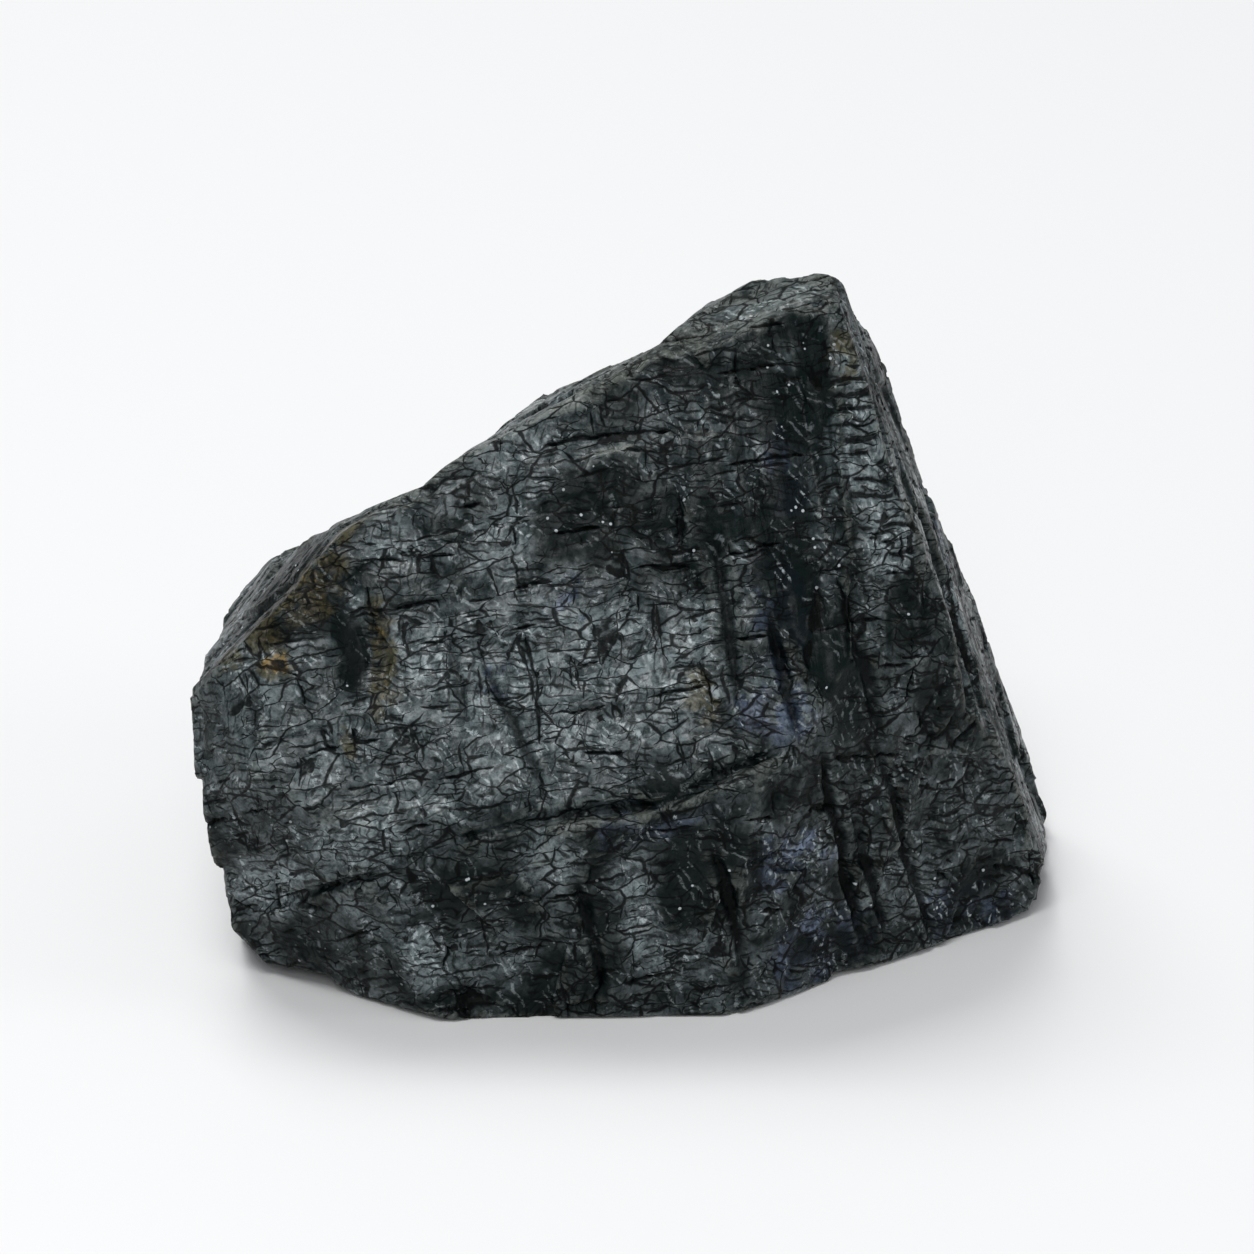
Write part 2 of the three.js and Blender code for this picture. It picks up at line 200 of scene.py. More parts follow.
class Graph:
    """Adds nodes to a tree and joins them up, one call for each node."""

    def __init__(self, tree: bpy.types.NodeTree) -> None:
        """Keeps the tree that the nodes go in."""
        self.tree = tree

    def join(self, feed: Feed, socket: Socket) -> None:
        """Links a socket, or sets its value.

        Args:
            feed: Another node's output, or a constant. None leaves the socket as it is.
            socket: The input to feed.
        """
        if isinstance(feed, bpy.types.NodeSocket):
            self.tree.links.new(feed, socket)
        elif feed is not None:
            socket.default_value = feed

    def put(
        self, kind: str, feeds: dict[Union[str, int], Feed], **settings: object
    ) -> bpy.types.Node:
        """Adds one node.

        Args:
            kind: The node's type name.
            feeds: What goes into each input, by name or place.
            settings: The node's own options.

        Returns:
            The new node.
        """
        node = self.tree.nodes.new(kind)
        for name, value in settings.items():
            setattr(node, name, value)
        for key, feed in feeds.items():
            self.join(feed, node.inputs[key])
        return node

    def sum(self, operation: str, *feeds: Feed, clamp: bool = False) -> Socket:
        """One sum on numbers.

        Args:
            operation: The Math node's operation.
            feeds: Its inputs, in order.
            clamp: Whether the result is kept between 0 and 1.

        Returns:
            The result.
        """
        inputs = dict(enumerate(feeds))
        return self.put("ShaderNodeMath", inputs, operation=operation, use_clamp=clamp).outputs[0]

    def chain(self, operation: str, feeds: Iterable[Feed]) -> Feed:
        """Carries one operation through a row of numbers, from the first to the last.

        Args:
            operation: The Math node's operation.
            feeds: The numbers.

        Returns:
            The result, or the number itself where there is only one.
        """
        result, *rest = feeds
        for feed in rest:
            result = self.sum(operation, result, feed)
        return result

    def times(self, *feeds: Feed) -> Feed:
        """The product of some numbers."""
        return self.chain("MULTIPLY", feeds)

    def plus(self, *feeds: Feed) -> Feed:
        """The total of some numbers."""
        return self.chain("ADD", feeds)

    def largest(self, *feeds: Feed) -> Feed:
        """The largest of some numbers."""
        return self.chain("MAXIMUM", feeds)

    def minus(self, first: Feed, second: Feed, clamp: bool = False) -> Socket:
        """The difference of two numbers."""
        return self.sum("SUBTRACT", first, second, clamp=clamp)

    def vector(self, operation: str, *feeds: Feed, scale: Feed = None) -> Socket:
        """One sum on vectors.

        Args:
            operation: The Vector Math node's operation.
            feeds: Its vector inputs, in order.
            scale: The factor of a SCALE.

        Returns:
            The result, a number for DOT_PRODUCT and LENGTH.
        """
        inputs: dict[Union[str, int], Feed] = dict(enumerate(feeds))
        if scale is not None:
            inputs["Scale"] = scale
        node = self.put("ShaderNodeVectorMath", inputs, operation=operation)
        return node.outputs["Value" if operation in ("DOT_PRODUCT", "LENGTH") else "Vector"]

    def split(self, vector: Feed) -> list[Socket]:
        """The three numbers of a vector."""
        return list(self.put("ShaderNodeSeparateXYZ", {0: vector}).outputs)

    def merge(self, *numbers: Feed) -> Socket:
        """A vector made of three numbers."""
        return self.put("ShaderNodeCombineXYZ", dict(enumerate(numbers))).outputs[0]

    def smooth(
        self, value: Feed, low: Feed, high: Feed, start: Feed = 0.0, end: Feed = 1.0
    ) -> Socket:
        """A soft step from one number to another.

        Args:
            value: The number that is looked up.
            low: Where the step begins.
            high: Where the step ends.
            start: The result up to low.
            end: The result from high on.

        Returns:
            The stepped number.
        """
        node = self.put(
            "ShaderNodeMapRange",
            {"Value": value, "From Min": low, "From Max": high, "To Min": start, "To Max": end},
            interpolation_type="SMOOTHSTEP",
        )
        return node.outputs["Result"]

    def clouds(
        self, point: Feed, scale: Feed, detail: float = 1.0, rough: float = 0.5
    ) -> bpy.types.Node:
        """Adds a noise texture.

        Args:
            point: The point that it is read at.
            scale: How many of its largest swells lie in one unit.
            detail: How many finer octaves are laid over them.
            rough: How strong each finer octave is.

        Returns:
            The node, whose outputs are a number and a colour from 0 to 1.
        """
        inputs = {"Vector": point, "Scale": scale, "Detail": detail, "Roughness": rough}
        return self.put("ShaderNodeTexNoise", inputs)

    def noise(self, point: Feed, scale: Feed, detail: float = 1.0, rough: float = 0.5) -> Socket:
        """The number of a noise texture, from 0 to 1."""
        return self.clouds(point, scale, detail, rough).outputs[0]

    def ripple(self, point: Feed, scale: Feed, detail: float = 1.0, rough: float = 0.5) -> Socket:
        """The number of a noise texture, centred on nought."""
        return self.minus(self.noise(point, scale, detail, rough), 0.5)

    def cells(self, point: Feed, feature: str = "F1") -> bpy.types.NodeOutputs:
        """The outputs of a Voronoi texture with cells about one unit across."""
        inputs = {"Vector": point, "Scale": 1.0, "Randomness": 1.0}
        return self.put("ShaderNodeTexVoronoi", inputs, feature=feature).outputs

    def mix(self, share: Feed, first: Feed, second: Feed) -> Socket:
        """A mix of two numbers."""
        inputs = {0: share, 2: first, 3: second}
        return self.put("ShaderNodeMix", inputs, data_type="FLOAT").outputs[0]

    def blend(self, share: Feed, first: Feed, second: Feed, way: str = "MIX") -> Socket:
        """Mixes two colours.

        Args:
            share: How much of the second colour shows.
            first: The colour under it.
            second: The colour over it.
            way: The Mix node's blend type.

        Returns:
            The mixed colour.
        """
        inputs = {0: share, 6: first, 7: second}
        node = self.put("ShaderNodeMix", inputs, data_type="RGBA", blend_type=way)
        return node.outputs[2]

    def blur(self, vector: Socket, steps: int) -> Socket:
        """Averages a vector with those of the points near it.

        Args:
            vector: The vector.
            steps: How many times it is averaged.

        Returns:
            The smoothed vector.
        """
        inputs = {"Value": vector, "Iterations": steps}
        node = self.put("GeometryNodeBlurAttribute", inputs, data_type="FLOAT_VECTOR")
        return node.outputs["Value"]


class Effect:
    """A node group with named sockets, built once for each kind of tree."""

    name = "effect"
    takes: dict[str, tuple[SocketKind, Feed]] = {}
    gives: dict[str, SocketKind] = {}

    def __init__(self, kind: TreeKind) -> None:
        """Builds the group.

        Args:
            kind: The kind of tree that the group will be placed in.
        """
        tree = bpy.data.node_groups.new(f"{self.name} {kind.name.lower()}", kind.value)
        for name, (socket_kind, value) in self.takes.items():
            socket = tree.interface.new_socket(
                name=name, in_out="INPUT", socket_type=socket_kind.value
            )
            if value is not None:
                socket.default_value = value
        for name, socket_kind in self.gives.items():
            tree.interface.new_socket(
                name=name, in_out="OUTPUT", socket_type=socket_kind.value
            )
        graph = Graph(tree)
        inputs = tree.nodes.new("NodeGroupInput").outputs
        outputs = tree.nodes.new("NodeGroupOutput").inputs
        taken = {name: inputs[name] for name in self.takes}
        for name, feed in self.wire(graph, taken).items():
            graph.join(feed, outputs[name])
        self.tree = tree
        self.kind = kind

    def wire(self, graph: Graph, taken: dict[str, Socket]) -> dict[str, Feed]:
        """Adds the group's nodes.

        Args:
            graph: The group's tree.
            taken: The group's inputs by name.

        Returns:
            What feeds each output.
        """
        raise NotImplementedError

    def place(self, graph: Graph, **feeds: Feed) -> dict[str, Socket]:
        """Places the group in a tree.

        Args:
            graph: The tree that it goes in.
            feeds: What goes into each input; the rest keep their own values.

        Returns:
            Its outputs by name.
        """
        group = "ShaderNodeGroup" if self.kind is TreeKind.SHADER else "GeometryNodeGroup"
        node = graph.tree.nodes.new(group)
        node.node_tree = self.tree
        for name, feed in feeds.items():
            graph.join(feed, node.inputs[name])
        return {name: node.outputs[name] for name in self.gives}


class CrystalFrame(Effect):
    """Turns a place in metres into millimetres with the crystal axis along Z."""

    name = "crystal frame"
    takes = {"Place": (SocketKind.VECTOR, None)}
    gives = {"Point": SocketKind.VECTOR}

    def wire(self, graph: Graph, taken: dict[str, Socket]) -> dict[str, Feed]:
        """Takes three dot products, one for each axis.

        Args:
            graph: The group's tree.
            taken: The group's inputs by name.

        Returns:
            What feeds each output.
        """
        axis = crystal_axis()
        across = axis.cross(FRONT.out).normalized()
        out = across.cross(axis)
        parts = [
            graph.vector("DOT_PRODUCT", taken["Place"], tuple(direction / MM))
            for direction in (across, out, axis)
        ]
        return {"Point": graph.merge(*parts)}


class Wander(Effect):
    """Bends straight patterns by moving each point a little, more over long distances."""

    name = "wander"
    takes = {
        "Point": (SocketKind.VECTOR, None),
        "Long": (SocketKind.NUMBER, 1.6),
        "Short": (SocketKind.NUMBER, 0.45),
        "Tiny": (SocketKind.NUMBER, 0.0),
    }
    gives = {"Point": SocketKind.VECTOR}
    scales = {"Long": 0.16, "Short": 0.9, "Tiny": 2.4}  # bends in a millimetre

    def wire(self, graph: Graph, taken: dict[str, Socket]) -> dict[str, Feed]:
        """Adds three noises, each centred on nought and scaled in millimetres.

        Args:
            graph: The group's tree.
            taken: The group's inputs by name.

        Returns:
            What feeds each output.
        """
        result = taken["Point"]
        for amount, scale in self.scales.items():
            colour = graph.clouds(taken["Point"], scale).outputs[1]
            centred = graph.vector("SUBTRACT", colour, (0.5, 0.5, 0.5))
            moved = graph.vector("SCALE", centred, scale=taken[amount])
            result = graph.vector("ADD", result, moved)
        return {"Point": result}


class Breaks(Effect):
    """Dark lines that are open in some places and shut in others."""

    ease = (0.02, 0.16)  # how far below and above its threshold the opening noise takes effect
    fade = (0.02, 0.25)  # how far open a line is where it begins to show and where it is in full
    core = 0.35  # the share of its width that is dark all through

    def mask(
        self, graph: Graph, taken: dict[str, Socket], distance: Socket, patchy: Socket
    ) -> Socket:
        """Draws the lines.

        Args:
            graph: The group's tree.
            taken: The group's inputs, Width and Open among them.
            distance: Millimetres from the nearest line.
            patchy: The noise that opens the lines where it is high.

        Returns:
            Their strength, from 0 to 1.
        """
        shut = graph.minus(1.0, taken["Open"])
        below, above = self.ease
        opened = graph.smooth(patchy, graph.minus(shut, below), graph.plus(shut, above))
        width = graph.times(opened, taken["Width"])
        dark = graph.times(width, self.core)
        line = graph.smooth(distance, dark, graph.plus(width, LEAST_WIDTH), 1.0, 0.0)
        return graph.times(line, graph.smooth(opened, *self.fade))


class Cracks(Breaks):
    """The joints between the cells of a broken mineral."""

    name = "cracks"
    takes = {
        "Point": (SocketKind.VECTOR, None),
        "Cell": (SocketKind.VECTOR, (2.0, 2.0, 2.0)),
        "Width": (SocketKind.NUMBER, 0.2),
        "Open": (SocketKind.NUMBER, 0.5),
        "Reach": (SocketKind.NUMBER, 3.0),
    }
    gives = {
        "Mask": SocketKind.NUMBER,
        "Tone": SocketKind.NUMBER,
        "Tilt": SocketKind.VECTOR,
    }
    ease = (0.09, 0.09)
    fade = (0.05, 0.3)

    def wire(self, graph: Graph, taken: dict[str, Socket]) -> dict[str, Feed]:
        """Measures how far it is to a cell's edge, and gives each cell a tone and a tilt.

        Args:
            graph: The group's tree.
            taken: The group's inputs by name.

        Returns:
            What feeds each output.
        """
        scaled = graph.vector("DIVIDE", taken["Point"], taken["Cell"])
        edge = graph.cells(scaled, "DISTANCE_TO_EDGE")["Distance"]
        distance = graph.times(edge, graph.split(taken["Cell"])[0])
        slow = graph.sum("DIVIDE", 1.0, taken["Reach"])
        patchy = graph.noise(taken["Point"], slow, 2.0)
        colour = graph.cells(scaled)["Color"]
        return {
            "Mask": self.mask(graph, taken, distance, patchy),
            "Tone": graph.split(colour)[0],
            "Tilt": graph.vector("SUBTRACT", colour, (0.5, 0.5, 0.5)),
        }


class CrossBreaks(Breaks):
    """Short breaks square to the crystal axis, each level with its own open stretches."""

    name = "cross breaks"
    takes = {
        "Point": (SocketKind.VECTOR, None),
        "Spacing": (SocketKind.NUMBER, 1.4),
        "Run": (SocketKind.NUMBER, 3.0),
        "Width": (SocketKind.NUMBER, 0.2),
        "Open": (SocketKind.NUMBER, 0.45),
    }
    gives = {"Mask": SocketKind.NUMBER}
    apart = 7.31  # how far apart two levels read the noise that opens them

    def wire(self, graph: Graph, taken: dict[str, Socket]) -> dict[str, Feed]:
        """Cuts even levels of a bent axis, opened by a noise that differs on each level.

        Args:
            graph: The group's tree.
            taken: The group's inputs by name.

        Returns:
            What feeds each output.
        """
        across, out, axis = graph.split(taken["Point"])
        level = graph.sum("DIVIDE", axis, taken["Spacing"])
        floor = graph.sum("FLOOR", level)
        away = graph.sum("ABSOLUTE", graph.minus(graph.minus(level, floor), 0.5))
        distance = graph.times(away, taken["Spacing"])
        slow = graph.sum("DIVIDE", 1.0, taken["Run"])
        own = graph.merge(
            graph.times(across, slow), graph.times(out, slow), graph.times(floor, self.apart)
        )
        return {"Mask": self.mask(graph, taken, distance, graph.noise(own, 1.0))}


class ColumnSeams(Breaks):
    """Seams along the crystal axis, between the slender columns that the crystal is made of."""

    name = "column seams"
    takes = {
        "Point": (SocketKind.VECTOR, None),
        "Cell": (SocketKind.NUMBER, 2.4),
        "Drift": (SocketKind.NUMBER, 0.07),
        "Run": (SocketKind.NUMBER, 6.0),
        "Width": (SocketKind.NUMBER, 0.2),
        "Open": (SocketKind.NUMBER, 0.5),
    }
    gives = {"Mask": SocketKind.NUMBER, "Tone": SocketKind.NUMBER}

    def wire(self, graph: Graph, taken: dict[str, Socket]) -> dict[str, Feed]:
        """Measures how far it is to the edge of cells that are drawn out along the axis.

        Args:
            graph: The group's tree.
            taken: The group's inputs by name.

        Returns:
            What feeds each output.
        """
        across, out, axis = graph.split(taken["Point"])
        drawn = graph.merge(across, out, graph.times(axis, taken["Drift"]))
        scaled = graph.vector("SCALE", drawn, scale=graph.sum("DIVIDE", 1.0, taken["Cell"]))
        edge = graph.cells(scaled, "DISTANCE_TO_EDGE")["Distance"]
        distance = graph.times(edge, taken["Cell"])
        slow = graph.sum("DIVIDE", 1.0, taken["Run"])
        patchy = graph.noise(taken["Point"], slow, 2.0)
        return {
            "Mask": self.mask(graph, taken, distance, patchy),
            "Tone": graph.split(graph.cells(scaled)["Color"])[0],
        }


class Strokes(Effect):
    """Patches of thin curved scores, evenly spaced, that run square to a heading."""

    name = "strokes"
    takes = {
        "Point": (SocketKind.VECTOR, None),
        "Heading": (SocketKind.VECTOR, (0.0, 0.0, 1.0)),
        "Spacing": (SocketKind.NUMBER, 0.6),
        "Curl": (SocketKind.NUMBER, 5.0),
        "Width": (SocketKind.NUMBER, 0.1),
        "Share": (SocketKind.NUMBER, 0.5),
    }
    gives = {"Mask": SocketKind.NUMBER}
    bends = 0.42  # in a millimetre
    patches = 0.55  # in a millimetre
    apart = 31.0  # how far apart two headings read the noise that places their patches
    core = 0.3  # the share of a score's width that is dark all through
    rim = 0.08  # how soft the rim of a patch is

    def wire(self, graph: Graph, taken: dict[str, Socket]) -> dict[str, Feed]:
        """Cuts even levels along the heading, bends them, and keeps them in patches.

        Args:
            graph: The group's tree.
            taken: The group's inputs by name.

        Returns:
            What feeds each output.
        """
        reach = graph.vector("DOT_PRODUCT", taken["Point"], taken["Heading"])
        level = graph.sum("DIVIDE", reach, taken["Spacing"])
        bend = graph.ripple(taken["Point"], self.bends)
        level = graph.plus(level, graph.times(bend, taken["Curl"]))
        away = graph.sum("ABSOLUTE", graph.minus(graph.sum("FRACT", level), 0.5))
        distance = graph.times(away, taken["Spacing"])
        dark = graph.times(taken["Width"], self.core)
        line = graph.smooth(distance, dark, taken["Width"], 1.0, 0.0)
        shift = graph.vector("SCALE", taken["Heading"], scale=self.apart)
        patchy = graph.noise(graph.vector("ADD", taken["Point"], shift), self.patches)
        shut = graph.minus(1.0, taken["Share"])
        shown = graph.smooth(patchy, shut, graph.plus(shut, self.rim))
        return {"Mask": graph.times(line, shown)}


class Oval(Effect):
    """One oval area with a soft rim."""

    name = "oval"
    takes = {
        "Point": (SocketKind.VECTOR, None),
        "Centre": (SocketKind.VECTOR, None),
        "Across": (SocketKind.VECTOR, None),
        "Along": (SocketKind.VECTOR, None),
        "Out": (SocketKind.VECTOR, None),
        "Share": (SocketKind.NUMBER, 1.0),
    }
    gives = {"Mask": SocketKind.NUMBER}
    rim = (0.55, 1.3)  # where the soft rim begins and ends, in radii

    def wire(self, graph: Graph, taken: dict[str, Socket]) -> dict[str, Feed]:
        """Measures how far it is from the centre, in radii along the oval's three axes.

        Args:
            graph: The group's tree.
            taken: The group's inputs by name.

        Returns:
            What feeds each output.
        """
        reach = graph.vector("SUBTRACT", taken["Point"], taken["Centre"])
        axes = ("Across", "Along", "Out")
        parts = [graph.vector("DOT_PRODUCT", reach, taken[axis]) for axis in axes]
        distance = graph.vector("LENGTH", graph.merge(*parts))
        return {"Mask": graph.smooth(distance, *self.rim, taken["Share"], 0.0)}


class Zone(Effect):
    """The strength of a zone: the largest of its oval patches."""

    name = "zone"
    takes = {"Point": (SocketKind.VECTOR, None)}
    gives = {"Mask": SocketKind.NUMBER}

    def __init__(self, kind: TreeKind, oval: Oval, patches: Iterable[Patch]) -> None:
        """Builds the group.

        Args:
            kind: The kind of tree that the group will be placed in.
            oval: The group that draws each patch.
            patches: The patches of the zone, in millimetres.
        """
        self.oval = oval
        self.patches = tuple(patches)
        super().__init__(kind)

    def wire(self, graph: Graph, taken: dict[str, Socket]) -> dict[str, Feed]:
        """Places one oval for each patch.

        Args:
            graph: The group's tree.
            taken: The group's inputs by name.

        Returns:
            What feeds each output.
        """
        masks = []
        for patch in self.patches:
            basis = patch.side.basis(patch.turn)
            radii = (*patch.size, patch.depth)
            across, along, out = (tuple(basis.col[axis] / radii[axis]) for axis in range(3))
            oval = self.oval.place(
                graph,
                Point=taken["Point"],
                Centre=tuple(patch.side.point(*patch.at)),
                Across=across,
                Along=along,
                Out=out,
                Share=patch.share,
            )
            masks.append(oval["Mask"])
        return {"Mask": graph.largest(*masks)}


# ---------------------------------------------------------------- the stone


@dataclass
class Relief:
    """The fine shape of the stone's surface, in millimetres, and the zones of its finish."""

    joint_depth: float = 0.28
    worn_joint_depth: float = 0.1
    plate_depth: float = 0.12
    joint_offset: float = 0.14
    pit_depth: float = 0.1
    undulation: float = 0.3
    drawn_out: float = 0.05  # how much slower the ridges change along the crystal axis
    ridge: float = 0.28  # from its foot to its crest
    bulge: float = 0.9  # likewise
    brick_depth: float = 0.3
    groove_depth: float = 0.55
    trough_depth: float = 0.7
    floor_gap: float = 0.1  # height above the floor under which nothing is carved
    foot: float = 0.7  # height above the floor from which all of the relief is carved
    facing_blur: int = 4  # how many times the normal is averaged before it is used
    hollow_blur: int = 12  # the same for the place that a small hollow is measured from
    gap_blur: int = 60  # and for a wide one
    smooth_patches: tuple[Patch, ...] = (
        Patch(FRONT, (12.4, 16.2), (5.3, 3.8), share=0.4),
        Patch(FRONT, (14.1, 8.2), (2.8, 6.0), turn=4, share=0.4),
        Patch(FRONT, (-0.3, 6.5), (4.2, 3.2), share=0.25),
        Patch(FRONT, (14.9, -4.9), (2.0, 7.8), turn=14, share=0.6, depth=8.0),
        Patch(FRONT, (2.3, -12.2), (2.2, 1.6), share=0.7),
        Patch(FRONT, (-18.6, 1.0), (1.0, 3.6), share=0.6),
        Patch(BELT, (3.8, -4.3), (1.9, 5.4), share=0.4),
        Patch(BELT, (-13.4, -4.2), (3.0, 1.6), share=0.35),
        Patch(BELT, (-7.2, -12.0), (2.4, 2.8), share=0.3),
    )
    stain_patches: tuple[Patch, ...] = (
        Patch(FRONT, (-21.3, 5.7), (3.8, 3.0), turn=20),
        Patch(FRONT, (-24.5, 2.9), (1.4, 2.6), share=0.9),
        Patch(FRONT, (-16.4, -0.5), (1.0, 4.2)),
        Patch(FRONT, (-24.0, 0.1), (1.4, 1.1), share=1.4),
        Patch(FRONT, (-19.4, -5.3), (0.7, 1.5), share=0.8),
        Patch(FRONT, (-18.7, 8.2), (2.8, 1.4), turn=20, share=0.7),
        Patch(FRONT, (5.6, -6.8), (1.4, 2.4), share=0.55),
        Patch(FRONT, (-27.3, 2.1), (1.0, 2.0), share=0.9),
        Patch(RIGHT_FRONT, (5.2, 17.8), (1.5, 2.0), share=0.6),
        Patch(BACK, (-6.0, 6.0), (5.0, 3.4), turn=30),
        Patch(BACK, (9.0, -2.0), (1.8, 5.0), share=0.8),
        Patch(LEFT, (-4.0, -6.0), (4.0, 2.6), share=0.8),
    )
    navy_patches: tuple[Patch, ...] = (
        Patch(FRONT, (13.6, 7.9), (1.3, 4.4), share=0.8),
        Patch(FRONT, (11.8, -2.0), (2.4, 5.6)),
        Patch(FRONT, (10.4, -8.3), (3.5, 2.8)),
        Patch(FRONT, (-2.6, 1.7), (2.4, 2.0), share=0.5),
        Patch(FRONT, (-8.2, -3.1), (2.4, 1.6), share=0.4),
        Patch(BELT, (1.2, -2.4), (5.5, 1.9), share=0.7),
        Patch(BELT_RIGHT, (0.3, -6.9), (4.8, 2.7)),
        Patch(BELT_RIGHT, (5.6, -14.0), (5.4, 3.7)),
        Patch(BELT_RIGHT, (18.9, -12.3), (4.4, 2.8)),
        Patch(RIGHT, (4.0, 3.0), (2.4, 8.0), share=0.8),
        Patch(BACK_LOW, (-4.0, -4.0), (4.0, 6.0), share=0.8),
    )
    # Painted top light: a paler strip along the top and the right rim.
    top_light_patches: tuple[Patch, ...] = (
        Patch(FRONT, (13.5, 20.6), (5.9, 1.4)),
        Patch(FRONT, (0.2, 15.6), (5.9, 1.0), turn=12, share=0.8),
        Patch(FRONT, (-13.1, 11.0), (4.4, 0.9), turn=14, share=0.7),
        Patch(RIGHT_FRONT, (10.0, 7.9), (1.3, 8.0), share=0.7),
    )
    brick_patches: tuple[Patch, ...] = (
        Patch(RIGHT_FRONT, (5.4, 13.8), (1.7, 4.6)),
        Patch(RIGHT_FRONT, (5.9, 8.1), (2.1, 2.4)),
        Patch(RIGHT_FRONT, (8.3, 5.0), (2.0, 2.4)),
    )
    shine_patches: tuple[Patch, ...] = (
        Patch(FRONT, (-22.2, -5.1), (6.7, 5.6), share=0.55),
        Patch(BELT, (-20.3, -0.5), (5.5, 2.3), share=1.6),
        Patch(BELT_LEFT, (-13.7, 2.7), (5.2, 2.1), share=1.6),
        Patch(BELT_LEFT, (-10.5, 8.2), (4.1, 5.3), share=0.3),
        Patch(FRONT, (13.1, 20.6), (5.5, 1.6), share=1.3),
        Patch(RIGHT_FRONT, (5.6, 11.8), (1.8, 4.4), share=2.4),
        Patch(RIGHT_FRONT, (7.2, 5.2), (2.0, 2.6), share=2.2),
        Patch(FRONT, (-4.7, -4.1), (11.9, 6.4), share=0.85),
        Patch(FRONT, (-12.8, -1.2), (3.6, 3.6)),
        Patch(FRONT, (-14.4, 7.1), (2.0, 2.2), share=0.8),
        Patch(FRONT, (-6.9, 6.0), (2.5, 2.8), share=0.75),
        Patch(FRONT, (-3.5, 12.9), (4.4, 2.8), turn=25, share=0.6),
        Patch(FRONT, (-26.2, -1.3), (2.4, 6.0), share=0.6),
        Patch(FRONT, (-22.7, -14.4), (5.5, 1.7), turn=10, share=0.8),
        Patch(FRONT, (4.6, -4.2), (2.8, 4.8), share=0.9),
        Patch(FRONT, (11.9, -8.9), (2.8, 1.7), share=0.8),
        Patch(FRONT, (-13.3, -10.5), (11.1, 2.0), share=0.6),
        Patch(BELT, (-6.3, -4.0), (2.4, 2.4), share=1.3),
        Patch(BELT, (-0.6, -8.9), (1.7, 4.3), share=1.4),
        Patch(BELT, (-16.3, -10.0), (1.7, 2.9), share=1.9),
        Patch(BELT, (-18.8, -5.6), (3.2, 2.9), share=0.7),
        Patch(BELT_RIGHT, (2.3, -6.5), (2.4, 1.6), share=1.8),
        Patch(BELT_RIGHT, (4.4, -11.6), (1.5, 2.6), turn=27, share=1.2),
        Patch(RIGHT_FRONT, (11.3, -13.5), (2.6, 1.8), share=2.2),
        Patch(RIGHT_FRONT, (14.7, -15.4), (2.1, 3.2), share=1.7),
        Patch(RIGHT_FRONT, (5.2, 16.4), (1.2, 2.2), share=1.4),
        Patch(FRONT, (9.2, 10.6), (1.7, 4.8), share=0.3),
        Patch(BELT, (-12.4, -11.2), (3.6, 2.5), share=0.9),
        Patch(BELT, (2.2, -13.9), (3.2, 2.5)),
        Patch(BELT_RIGHT, (11.9, -10.4), (4.2, 2.8)),
        Patch(FRONT, (-17.6, 1.9), (1.1, 2.4), share=0.5),
    )
